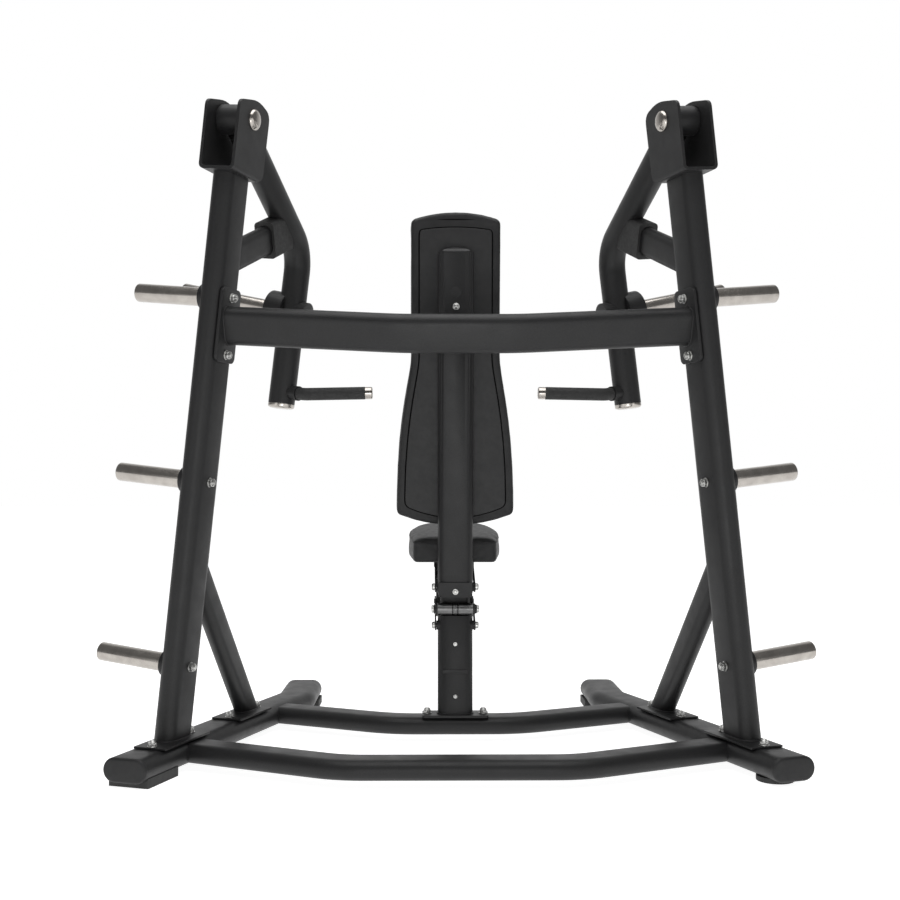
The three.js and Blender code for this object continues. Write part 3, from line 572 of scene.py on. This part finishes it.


# Named as the record's slots are, with three finishes that aren't slots: dull steel, the near-black
# painted shadow and the foot pads' rubber.
MATERIALS = {
    "frame": powder_coat(),
    "chrome": chrome(),
    "steel": steel(),
    "dull": dull_steel(),
    # painted shade: the near-black finish put where gaps and slots fall into shade
    "painted_shade": painted_shadow_finish(),
    "rubber": rubber(),
    "foot": foot_rubber(),
    "plastic": plastic(),
    "upholstery": upholstery(),
}

# ------------------------------------------------------------ feet and base beams
BIG_SECTION, BIG_LYING = oval(60, 120), oval(120, 60)
BEAM_SECTION, BEAM_LYING = oval(50, 100), oval(100, 50)
LEVEL = Vector((0, 0, 1))


def feet():
    """The two foot tubes with their end caps and pads."""
    bend_x = NEAR_X - FOOT_BEND_Y * math.tan(PLAN_TURN)
    far_y = FAR_Y - CAP - CENTRE_Y
    start = NEAR_END + ALONG * (CAP + GAP)
    corners = [(start.x, start.y), (bend_x, FOOT_BEND_Y - CENTRE_Y), (bend_x, far_y - GAP)]
    lift = LEVEL * FOOT_MID
    stand_for_pair("foot_tube", tube(BIG_SECTION, corners, Matrix.Translation(lift), FOOT_BEND_RADIUS))
    near = basis(Vector((COS, SIN, 0)), LEVEL, -ALONG, start - ALONG * GAP + lift)
    far = basis(Vector((-1, 0, 0)), LEVEL, Vector((0, 1, 0)), Vector((bend_x, far_y, FOOT_MID)))
    for end, matrix in (("near", near), ("far", far)):
        stand_for_pair(f"{end}_end_cap", domed(BIG_LYING, 0, CAP, 7, matrix))
    puck = turned(eased(46, 0, FOOT_BOTTOM - GAP, 1.5, 0.8), looking(ON_FOOT, 80, 0, 0))
    stand_for("near_foot_pad_right", puck, MATERIALS["foot"])
    for node in ("near_foot_pad_left", "far_foot_pad_right", "far_foot_pad_left"):
        refine(node, 1.2, MATERIALS["foot"])


def base_beam(node, middle_y, bend_x, end_x, end_y, bend):
    """A beam between the feet, straight in the middle and bent towards both ends."""
    level = Matrix.Translation((0, -CENTRE_Y, FOOT_MID))
    corners = [(-end_x, end_y), (-bend_x, middle_y), (bend_x, middle_y), (end_x, end_y)]
    stand_for(node, tube(BEAM_SECTION, corners, level, bend))


# ------------------------------------------------------------ side frames
def bolt(name, matrix, radius):
    """A button-head bolt with a hexagon socket, on the plane z = 0 of matrix."""
    foot = 1.6
    height = radius * 0.55

    def rings(pairs):
        return [circle(matrix, r, z, 36) for r, z in pairs]

    washer = rings([(radius * 1.35, 0), (radius * 1.35, 1.2), (radius * 1.28, foot), (radius, foot)])
    slopes = ((1, 0.15), (0.95, 0.5), (0.82, 0.8), (0.6, 0.98))
    dome = rings([(radius * f, foot + height * g) for f, g in slopes])
    mouth = hexagon(matrix, radius * 0.45, foot + height)
    bottom = hexagon(matrix, radius * 0.43, foot + height * 0.35)
    middle = rings([(0.4, foot + height * 0.3)])
    return piece(name, loft(washer + dome + [mouth, bottom] + middle), "base", "steel")


def nut(matrix, across=20, stud=6):
    """A washer, a locking nut and the end of its stud, standing on the plane z = 0 of matrix."""
    def rings(pairs):
        return [circle(matrix, r, z, 36) for r, z in pairs]

    washer = rings([(across * 0.6, 0), (across * 0.62, 0.4), (across * 0.62, 1.6), (across * 0.6, 2)])
    flats = [hexagon(matrix, across / 2 * grow, z) for grow, z in ((0.99, 2), (1, 2.6), (1, 9.6))]
    collar = [(across * 0.49, 10.4), (across * 0.44, 10.8), (across * 0.44, 13.2), (across * 0.4, 14)]
    end = [(stud + 1, 14), (stud + 1, 12.4), (stud, 12.4), (stud, 15), (stud - 0.9, 16)]
    return loft(washer + flats + rings(collar + end))


def hardware(name, shapes, material=None):
    """The same small parts on both sides of the machine, as one piece on each."""
    whole = join(*shapes)
    piece(f"{name}_right", whole, "base", "steel", material)
    piece(f"{name}_left", mirrored(whole), "base", "steel", material)


# Across the upright, seen from above: the section's x stands out to the side and its y along the foot.
UPRIGHT_RUN = SIDE @ Matrix(((0, 1, 0, 0), (0, 0, 1, 0), (1, 0, 0, 0), (0, 0, 0, 1)))
BRACE_SECTION = oval(50, 75)


def upright_shape():
    """The upright with its foot plate, the weld round its foot and the horns' collars."""
    post = tube(BIG_SECTION, [(0, 4), (0, UPRIGHT_TOP)], SIDE)
    foot = plate(box(222, 92, 3, 210, 8), FOOT_TOP + GAP, FLANGE_TOP, ON_FOOT, 0.8)
    collars = [turned(eased(34, 24, 45, 1, 2.5), looking(SIDE, 0, t, 0)) for t in HORN_HEIGHTS.values()]
    seam = weld(BIG_SECTION, UPRIGHT_RUN, LEVEL * FLANGE_TOP, LEVEL)
    return join(post, foot, seam, *collars)


def rear_brace_shape():
    """The stay from the foot up to the upright, with its foot plate."""
    low, high = Vector((430, -25)), Vector((20, 448))
    stay = tube(BRACE_SECTION, [low, high], SIDE)
    foot = plate(box(190, 92, 3, 580, 10), FOOT_TOP + GAP, FLANGE_TOP, ON_FOOT, 0.8)
    rise = (high - low).normalized()
    run = SIDE @ Matrix((
        (0, -rise.y, rise.x, low.x),
        (0, rise.x, rise.y, low.y),
        (1, 0, 0, 0),
        (0, 0, 0, 1),
    ))
    return join(stay, foot, weld(BRACE_SECTION, run, LEVEL * FLANGE_TOP, LEVEL))


def horn_profile(start, end):
    """A sleeve with a bevelled outer end that is dished where the bar shows."""
    radius, bevel = 24, 4
    rim = []
    for a in (0, 0.4, 0.8, 1.2, math.pi / 2):
        rim.append((radius - bevel * (1 - math.cos(a)), end - bevel * (1 - math.sin(a))))
    dish = [(18, end), (17.4, end - 1.2), (0.5, end - 1.2)]
    return [(radius - 0.8, start), (radius, start + 0.8)] + rim + dish


def along_stop(distance):
    """A place on the stop arm's axis, in the upright's plane."""
    return distance * math.cos(STOP_ANGLE), STOP_ROOT + distance * math.sin(STOP_ANGLE)


def side_frames():
    """The uprights and all that is fixed to them, and the nuts on their inner faces."""
    stand_for_pair("upright", upright_shape())
    for place, t in HORN_HEIGHTS.items():
        horn = turned(horn_profile(HORN_START, HORN_END), looking(SIDE, 0, t, 0))
        stand_for_pair(f"storage_horn_{place}", horn)
    stand_for_pair("rear_brace", rear_brace_shape())
    stand_for_pair("stop_arm", tube(oval(40, 80), [along_stop(20), along_stop(290)], SIDE))
    for side in ("right", "left"):
        refine(f"pivot_bracket_{side}", 1.6)
        refine(f"stop_rubber_{side}", 2.0)
    inwards = (0, 0, -1)
    heights = (HORN_HEIGHTS["low"], HORN_HEIGHTS["middle"])
    hardware("horn_nuts", [nut(looking(SIDE, 0, t, -30, inwards)) for t in heights])
    heights = (BEAM_HEIGHT + 71, BEAM_HEIGHT - 75)
    hardware("beam_nuts", [nut(looking(SIDE, 0, t, BEAM_PLATE_FACE, inwards)) for t in heights])
    places = [(112, 8), (294, 8), (504, 10), (667, 10)]
    hardware("foot_nuts", [nut(looking(ON_FOOT, s, y, FLANGE_TOP)) for s, y in places])


# ------------------------------------------------------------ press arms
PIVOT = looking(SIDE, 0, PIVOT_HEIGHT, 0)
LOAD_AXIS = (0, math.sin(LOAD_TILT), math.cos(LOAD_TILT))
LOAD_FRAME = looking(ARM_SIDE, *LOAD_AT, 0, LOAD_AXIS)
ARM_DOWN = Vector(ARM_END) - Vector(ARM_ELBOW)
GRIP_S = ARM_ELBOW[0] + ARM_DOWN.x * (GRIP_HEIGHT - ARM_ELBOW[1]) / ARM_DOWN.y
GRIP_ON_ARM = ARM_SIDE @ Vector((GRIP_S, GRIP_HEIGHT, 0))
GRIP_AHEAD = GRIP_HEADING.normalized()
GRIP_NORMAL = GRIP_AHEAD.cross(-GRIP_BEND).normalized()
GRIP_FRAME = basis(GRIP_AHEAD, GRIP_NORMAL.cross(GRIP_AHEAD), GRIP_NORMAL, GRIP_ON_ARM + GRIP_BEND)
GRIP_ROOT = (GRIP_FRAME.inverted() @ GRIP_ON_ARM).to_2d()


def on_stub(distance):
    """A place on the grip's stub, that far from the arm's axis, in the grip's plane."""
    return tuple(GRIP_ROOT * (1 - distance / GRIP_ROOT.length))


def grip_run(start, end):
    """The grip's bent axis, from a distance along the stub to a distance past the bend."""
    return run_of([on_stub(start), (0, 0), (end, 0)], GRIP_BEND_RADIUS)


def grip_sleeve():
    """The rubber sleeve round the bent grip, open at both ends, with its rims rounded over."""
    ends = (GRIP_STUB + GAP, GRIP_TO)
    rim = swept(oval(34.6, 34.6), grip_run(*ends), GRIP_FRAME)
    skin = swept(oval(36, 36), grip_run(ends[0] + 0.8, ends[1] - 0.8), GRIP_FRAME)
    bore = swept(oval(26.6, 26.6), grip_run(*ends), GRIP_FRAME)
    return looped([rim[0], *skin, rim[-1], *bore[::-1]])


def press_arm_shape():
    """The arm's weldment: its bearing housing, bent tube, load horn's drum and grip stub."""
    housing = pipe(ARM_RADIUS, 31, -41, 41, PIVOT)
    pivot_at = Vector((0, PIVOT_HEIGHT))
    start = pivot_at + (Vector(ARM_ELBOW) - pivot_at).normalized() * 34
    section = oval(2 * ARM_RADIUS, 2 * ARM_RADIUS)
    run = tube(section, [tuple(start), ARM_ELBOW, ARM_END], ARM_SIDE, ARM_BEND_RADIUS)
    socket = turned(eased(ARM_RADIUS, -50, 20, 2, 1), LOAD_FRAME)
    drum = turned(eased(55, 15, 70, 1.5, 2.5), LOAD_FRAME)
    stub = loft(swept(oval(42, 42), run_of([on_stub(0), on_stub(GRIP_STUB)], 1), GRIP_FRAME))
    core = loft(swept(oval(26, 26), grip_run(0, GRIP_TO + 12), GRIP_FRAME))
    return join(housing, run, socket, drum, stub, core)


def press_arms():
    """The arms and all that rides on them, and the shafts they turn on."""
    stand_for_pair("press_arm", press_arm_shape())
    stand_for_pair("load_horn", turned(horn_profile(LOAD_START, LOAD_END), LOAD_FRAME))
    plug = [(37.4, GAP), (38, 1), (38, 8), (37.2, 10.4), (35, 12.6), (30, 14.4), (22, 15.4), (1, 15.9)]
    stand_for_pair("arm_plug", turned(plug, looking(ARM_SIDE, *ARM_END, 0, (*ARM_DOWN, 0))))
    stand_for_pair("grip_sleeve", grip_sleeve())
    lid = [(13.3, GRIP_TO + GAP), (17.5, GRIP_TO + GAP), (17.5, GRIP_END - 4)]
    lid += [(17.2, GRIP_END - 2.2), (16, GRIP_END - 0.8), (14, GRIP_END), (0.5, GRIP_END)]
    stand_for_pair("grip_cap", turned(lid, looking(GRIP_FRAME, 0, 0, 0, (1, 0, 0))))
    face = PIVOT_FACE + GAP
    head = [(3, 11), (12, 10.4), (19, 8.4), (24, 5.5), (26.6, 2), (27, 0), (15, 0)]
    shaft = [(r, -face - z) for r, z in head] + [(15, face + 6), (0.5, face + 6)]
    stand_for_pair("pivot_shaft", turned(shaft, PIVOT))
    dome = [(15.3, 0), (27, 0), (26.6, 2), (24, 6), (19, 9), (12, 11), (0.5, 12)]
    stand_for_pair("pivot_cap", turned([(r, face + z) for r, z in dome], PIVOT))


# ------------------------------------------------------------ middle beam and posts
def middle_beam_shape():
    """The bent beam between the uprights, its end plates and their welds, and its stub to the post."""
    meets = SIDE @ Vector((0, BEAM_HEIGHT, BEAM_PLATE_FACE + 4))
    tilt = Matrix.Translation((0, meets.y, meets.z)) @ Matrix.Rotation(BEAM_TURN, 4, "X")
    reach = meets.x
    bend_x, drop = BEAM_BEND
    corners = [(-reach, 0), (-bend_x, drop), (bend_x, drop), (reach, 0)]
    far_side = Vector((-OUT.x, OUT.y, OUT.z))
    slant = [(Vector((-reach, meets.y, meets.z)), far_side), (meets, OUT)]
    beam = tube(BEAM_LYING, corners, tilt, BEAM_BEND_RADIUS, slant)
    face = BEAM_PLATE_FACE
    end_plate = plate(box(96, 190, 16, 0, BEAM_HEIGHT), face, face + 8, SIDE)
    stub = tube(BEAM_LYING, [(80, STUB_HEIGHT), (430, STUB_HEIGHT)], MIDDLE)
    heading = Vector((reach - bend_x, -drop, 0)).normalized()
    run = tilt @ Matrix((
        (0, heading.y, heading.x, bend_x),
        (0, -heading.x, heading.y, drop),
        (1, 0, 0, 0),
        (0, 0, 0, 1),
    ))
    seam = weld(BEAM_LYING, run, SIDE @ Vector((0, BEAM_HEIGHT, face)), OUT)
    return join(beam, end_plate, mirrored(end_plate), stub, seam, mirrored(seam))


def rear_face(y, z, lean=False):
    """A place on the rear of the seat post or back post, looking backwards."""
    return looking(MIDDLE, y, z, 0, (-POST_UP.z, POST_UP.y, 0) if lean else (-1, 0, 0))


def behind_back(z):
    """Y of the back post's rear face at height z."""
    slope = (BACK_FOOT[0] - BACK_TOP[0]) / (BACK_TOP[1] - BACK_FOOT[1])
    centre = BACK_TOP[0] + (BACK_TOP[1] - z) * slope
    return centre - BACK_POST_HALF / POST_UP.z


def posts():
    """The middle beam, the two posts, and the screws, sleeves, plug, strap and weld on them."""
    stand_for("middle_beam", middle_beam_shape())
    for node in ("back_post", "seat_post"):
        refine(node, 1.0)
    hardware("post_nuts", [nut(Matrix.Translation((80, POST_Y - CENTRE_Y, 75)))])
    for name, z in (("high", 274), ("low", 126)):
        bolt(f"seat_post_screw_{name}", rear_face(POST_REAR_Y, z), 4)
    bolt("back_post_screw", rear_face(behind_back(1221), 1221, True), 7)
    bolt("foot_plate_screw", rear_face(behind_back(424) - 5.5, 424, True), 6)
    barrel = looking(MIDDLE, *BARREL_AT, 0)
    hardware("barrel_bolt", [turned(eased(10.6, 61.3, 68, 0.6, 1.8), barrel)])
    outer, inner = 16.6, 12
    hardware("barrel_sleeve", [pipe(outer, inner, 8, 51, barrel)], MATERIALS["dull"])
    collar = pipe(outer, inner, -6.5, 6.5, barrel)
    piece("barrel_collar", collar, "base", "steel", MATERIALS["dull"])
    plug = [(14.5, -0.5), (14.5, 0.3), (13.5, 0.9), (0.5, 1.3)]
    plug_at = rear_face(behind_back(1260), 1260, True)
    piece("back_post_plug", turned(plug, plug_at), "base", "plastic")
    strap = plate(box(72, 10, 3), 0, 3, rear_face(POST_REAR_Y, 197), 1)
    piece("seat_post_strap", strap, "base", "frame")
    ring = [Vector((x, y + POST_Y - CENTRE_Y, 76)) for x, y in inset(BEAM_LYING, -1)]
    piece("seat_post_weld", rope(ring, 2.6), "base", "frame")


def seat_linkage():
    """The seat's carriage, links, bolts, gas strut and release lever."""
    for node in ("seat_carriage", "seat_link_upper", "seat_link_lower", "release_lever"):
        refine(node, 0.8)
    for node in ("seat_bolt_upper", "seat_bolt_lower", "gas_cylinder", "gas_rod"):
        refine(node, 0.4)


def bearings():
    """The bearings in the arms' pivot housings."""
    for place in ("inner", "outer"):
        for side in ("right", "left"):
            refine(f"pivot_bearing_{place}_{side}", 0.5)


# ------------------------------------------------------------ pads
CLOTH_STEPS = 20


def bake(obj):
    """Makes the modifiers' result the piece's own mesh."""
    graph = bpy.context.evaluated_depsgraph_get()
    mesh = bpy.data.meshes.new_from_object(obj.evaluated_get(graph))
    obj.modifiers.clear()
    obj.data = mesh


def vertices_of(mesh):
    """The mesh's points as rows of numbers."""
    flat = np.empty(3 * len(mesh.vertices))
    mesh.vertices.foreach_get("co", flat)
    return flat.reshape(-1, 3)


def evened(mesh, moved, loose, rounds=12):
    """Each vertex's movement averaged with its neighbours', which keeps the cloth's swell and takes out
    its creases. Vertices that aren't loose stay where they are."""
    ends = np.empty(2 * len(mesh.edges), dtype=np.int32)
    mesh.edges.foreach_get("vertices", ends)
    ends = ends.reshape(-1, 2)
    one, other = np.concatenate([ends, ends[:, ::-1]]).T
    count = np.maximum(np.bincount(one, minlength=len(moved)), 1)
    for _ in range(rounds):
        near = [np.bincount(one, moved[other, k], len(moved)) / count for k in range(3)]
        moved = (moved + np.stack(near, 1)) / 2 * loose[:, None]
    return moved


def stuffed(node, matrix, floor, drawn_in, reach, sideways=2.5, voxel=5.0, pressure=4.0):
    """A pad blown up by cloth simulation from its CAD form, and held flat where it is fixed.
    matrix is the pad's frame, whose z looks away from the fixed face at z = floor. The front
    starts drawn_in lower and rises by at most reach; the sides move by at most sideways."""
    pad = refine(node, 0)
    pad.modifiers.clear()
    even = pad.modifiers.new("even", "REMESH")
    even.mode = "VOXEL"
    even.voxel_size = voxel * MM
    bake(pad)
    mesh = pad.data
    start = vertices_of(mesh)
    normals = np.array([v.normal[:] for v in mesh.vertices])
    back = np.array(matrix.inverted())
    height = (start / MM) @ back[2, :3] + back[2, 3] - floor
    fixed_below, free_over = 3, 14
    free = np.clip((height - fixed_below) / free_over, 0, 1)
    ahead = np.array(matrix)[:3, 2]
    facing = np.clip(normals @ ahead, 0, 1)
    start = start - ahead * (free * facing * drawn_in * MM)[:, None]
    mesh.vertices.foreach_set("co", start.ravel())
    mesh.update()
    held = pad.vertex_groups.new(name="held")
    held.add([i for i, h in enumerate(height) if h < fixed_below], 1.0, "REPLACE")
    cloth = pad.modifiers.new("stuffing", "CLOTH")
    cloth.collision_settings.use_collision = False
    cloth.collision_settings.use_self_collision = False
    about = cloth.settings
    about.quality = 5
    about.mass = 0.3
    about.use_pressure = True
    about.uniform_pressure_force = pressure
    about.vertex_group_mass = "held"
    about.effector_weights.gravity = 0
    cloth.point_cache.frame_start = 1
    cloth.point_cache.frame_end = CLOTH_STEPS
    for step in range(1, CLOTH_STEPS + 1):
        bpy.context.scene.frame_set(step)
    bake(pad)
    bpy.context.scene.frame_set(1)
    moved = vertices_of(pad.data) - start
    rise = moved @ ahead
    aside = moved - rise[:, None] * ahead
    length = np.maximum(np.linalg.norm(aside, axis=1), 1e-9)
    aside *= (sideways * MM * np.tanh(length / (sideways * MM)) / length)[:, None]
    rise = reach * MM * np.tanh(rise / (reach * MM))
    moved = evened(pad.data, rise[:, None] * ahead + aside, free > 0)
    pad.data.vertices.foreach_set("co", (start + moved).ravel())
    pad.data.update()
    pad.vertex_groups.clear()
    pad.data.materials.clear()
    pad.data.materials.append(MATERIALS["upholstery"])
    fine = pad.modifiers.new("fine", "SUBSURF")
    fine.levels = fine.render_levels = 1
    pad.data.shade_smooth()
    return pad


def girth(pad, matrix, level, spacing=6.0):
    """Points round the pad where the plane z = level of matrix cuts it, evenly spaced and smoothed."""
    work = bmesh.new()
    work.from_mesh(pad.data)
    local = Matrix.Scale(MM, 4).inverted()
    bmesh.ops.transform(work, matrix=matrix.inverted() @ local, verts=work.verts)
    made = bmesh.ops.bisect_plane(
        work, geom=work.verts[:] + work.edges[:] + work.faces[:],
        plane_co=(0, 0, level), plane_no=(0, 0, 1),
    )["geom_cut"]
    ring = np.array([v.co[:2] for v in made if isinstance(v, bmesh.types.BMVert)])
    work.free()
    middle = (ring.max(0) + ring.min(0)) / 2
    ring = ring[np.argsort(np.arctan2(*(ring - middle).T[::-1]))]
    closed = np.vstack([ring, ring[:1]])
    run = np.concatenate([[0], np.cumsum(np.linalg.norm(np.diff(closed, axis=0), axis=1))])
    count = int(run[-1] / spacing)
    even = [np.interp(np.arange(count) * run[-1] / count, run, closed[:, k]) for k in (0, 1)]
    ring = np.stack(even, 1)
    return [matrix @ Vector((x, y, level)) for x, y in softened(ring, 3)]


def softened(ring, rounds):
    """A closed ring of points, each averaged with its neighbours."""
    for _ in range(rounds):
        ring = (np.roll(ring, 1, 0) + ring * 2 + np.roll(ring, -1, 0)) / 4
    return ring


def back_panel():
    """The panel behind the back pad, and a painted shadow round it: a near-black cord that stands in for
    the shade in the gap between panel and pad. The panel is drawn in from its CAD outline, and its top is
    lower and flatter."""
    draw_in, lowered, arch, half_width = 3, 17, 5, 80
    inwards = BACK_FRAME.inverted()
    ring = np.array([(inwards @ p)[:2] for p in girth(NODES["back_panel"], BACK_FRAME, 4, 4.0)])
    ring = np.array(inset(ring, draw_in))
    top = ring[:, 1].max() - lowered - arch * (ring[:, 0] / half_width) ** 2
    ring[:, 1] = np.minimum(ring[:, 1], top)
    ring = softened(ring, 4)
    stand_for("back_panel", plate(ring, 0, PANEL_THICK, BACK_FRAME, 1.5))
    edge = [BACK_FRAME @ Vector((x, y, PANEL_THICK - 0.8)) for x, y in inset(ring, -1)]
    # A painted shadow: a near-black cord round the panel's edge, where the gap between panel and pad lies
    # in shade.
    piece("back_panel_painted_shadow", rope(edge, 2.6, 8), "base", "rubber", MATERIALS["painted_shade"])


def painted_slot_shadow():
    """Painted shadow: a near-black strip across the back panel, a little below its top, standing in for
    the shade inside a slot.
    """
    half_length, half_width, y = 56, 1.5, 80
    slot = [(x, half_width * (1 - (x / half_length) ** 2)) for x in range(-54, 55, 9)]
    slot += [(x, -reach) for x, reach in slot[::-1]]
    place = BACK_FRAME @ Matrix.Translation((0, y, PANEL_THICK - 0.6))
    line = loft([[place @ Vector((x, y, z)) for x, y in slot[::-1]] for z in (0, 3)])
    # A painted shadow: the near-black strip stands in for the shade inside the slot.
    piece("painted_slot_shadow", line, "base", "rubber", MATERIALS["painted_shade"])


def pads():
    """The back panel with its painted edge shadow, the back and seat pads with their piping, and the
    painted shadow of the slot in the panel.
    """
    back_panel()
    back = stuffed("back_pad", BACK_FRAME, PANEL_THICK, 6, 10)
    seat = stuffed("seat_pad", SEAT_FRAME, 0, 4, 7, sideways=1.5, voxel=4.0)
    ring = girth(back, BACK_FRAME, PIPING_LEVEL)
    piece("back_piping", rope(ring, 2.4, 8), "base", "upholstery")
    ring = girth(seat, SEAT_FRAME, PIPING_LEVEL)
    piece("seat_piping", rope(ring, 2.4, 8), "seat", "upholstery")
    painted_slot_shadow()


# ------------------------------------------------------------ stage
def backdrop():
    """White where the camera looks. As light on the machine it is dim, except from beyond its front."""
    world = bpy.data.worlds.new("studio")
    world.use_nodes = True
    tree = world.node_tree
    sky = tree.nodes["Background"]
    sky.inputs["Color"].default_value = (1, 1, 1, 1)
    place = tree.nodes.new("ShaderNodeTexCoord")
    parts = tree.nodes.new("ShaderNodeSeparateXYZ")
    fade = tree.nodes.new("ShaderNodeMapRange")
    seen = tree.nodes.new("ShaderNodeLightPath")
    brighter = tree.nodes.new("ShaderNodeMath")
    brighter.operation = "MAXIMUM"
    set_range(fade, 0.35, 0.87, 0.20, 1.0)
    tree.links.new(place.outputs["Generated"], parts.inputs["Vector"])
    tree.links.new(parts.outputs["Y"], fade.inputs["Value"])
    tree.links.new(fade.outputs["Result"], brighter.inputs[0])
    tree.links.new(seen.outputs["Is Camera Ray"], brighter.inputs[1])
    tree.links.new(brighter.outputs["Value"], sky.inputs["Strength"])
    bpy.context.scene.world = world


def stage():
    """The floor, the backdrop and four lamps."""
    bpy.ops.mesh.primitive_plane_add(size=80, location=(0, 0, 0))
    floor = bpy.context.object
    floor.name = "floor"
    paper = Shader("pale_floor")
    paper.set(Base_Color=(0.60, 0.60, 0.60, 1), Roughness=0.95, Specular_IOR_Level=0.0)
    paper.set(Emission_Color=(1, 1, 1, 1), Emission_Strength=0.92)
    floor.data.materials.append(paper.material)
    backdrop()
    bpy.context.scene.view_settings.view_transform = "Standard"
    lamp("top", (0.0, -0.8, 4.2), 3.6, 120)
    lamp("left", (-3.4, -3.8, 1.0), 1.8, 8)
    lamp("right", (3.4, -3.6, 1.0), 1.8, 6)
    lamp("low", (0.0, -2.7, 0.3), 0.8, 9)


def lamp(name, place, size, power):
    """A square lamp, size in metres and power in watts, aimed at the middle of the machine."""
    aim = Vector((0, 0, 0.8))
    data = bpy.data.lights.new(name, "AREA")
    data.size = size
    data.energy = power
    obj = bpy.data.objects.new(name, data)
    obj.location = place
    obj.rotation_euler = (aim - Vector(place)).to_track_quat("-Z", "Y").to_euler()
    bpy.context.scene.collection.objects.link(obj)


def camera():
    """The camera, behind the machine at about seat height, a little to its left and tilted up a little."""
    data = bpy.data.cameras.new("camera")
    data.sensor_width = 36
    data.lens = 46.487
    data.shift_x = 0.01063
    data.shift_y = -0.0009
    obj = bpy.data.objects.new("camera", data)
    obj.location = (-0.07518, -2.80274 - CENTRE_Y * MM, 0.71981)
    obj.rotation_euler = (math.radians(90 + 1.886), 0, math.radians(-0.568))
    bpy.context.scene.collection.objects.link(obj)
    bpy.context.scene.camera = obj


feet()
base_beam("near_base_beam", 32, 287, 700, 230, 250)
base_beam("far_base_beam", 553, 175, 560, 734, 300)
side_frames()
press_arms()
posts()
seat_linkage()
pads()
bearings()
stage()
camera()
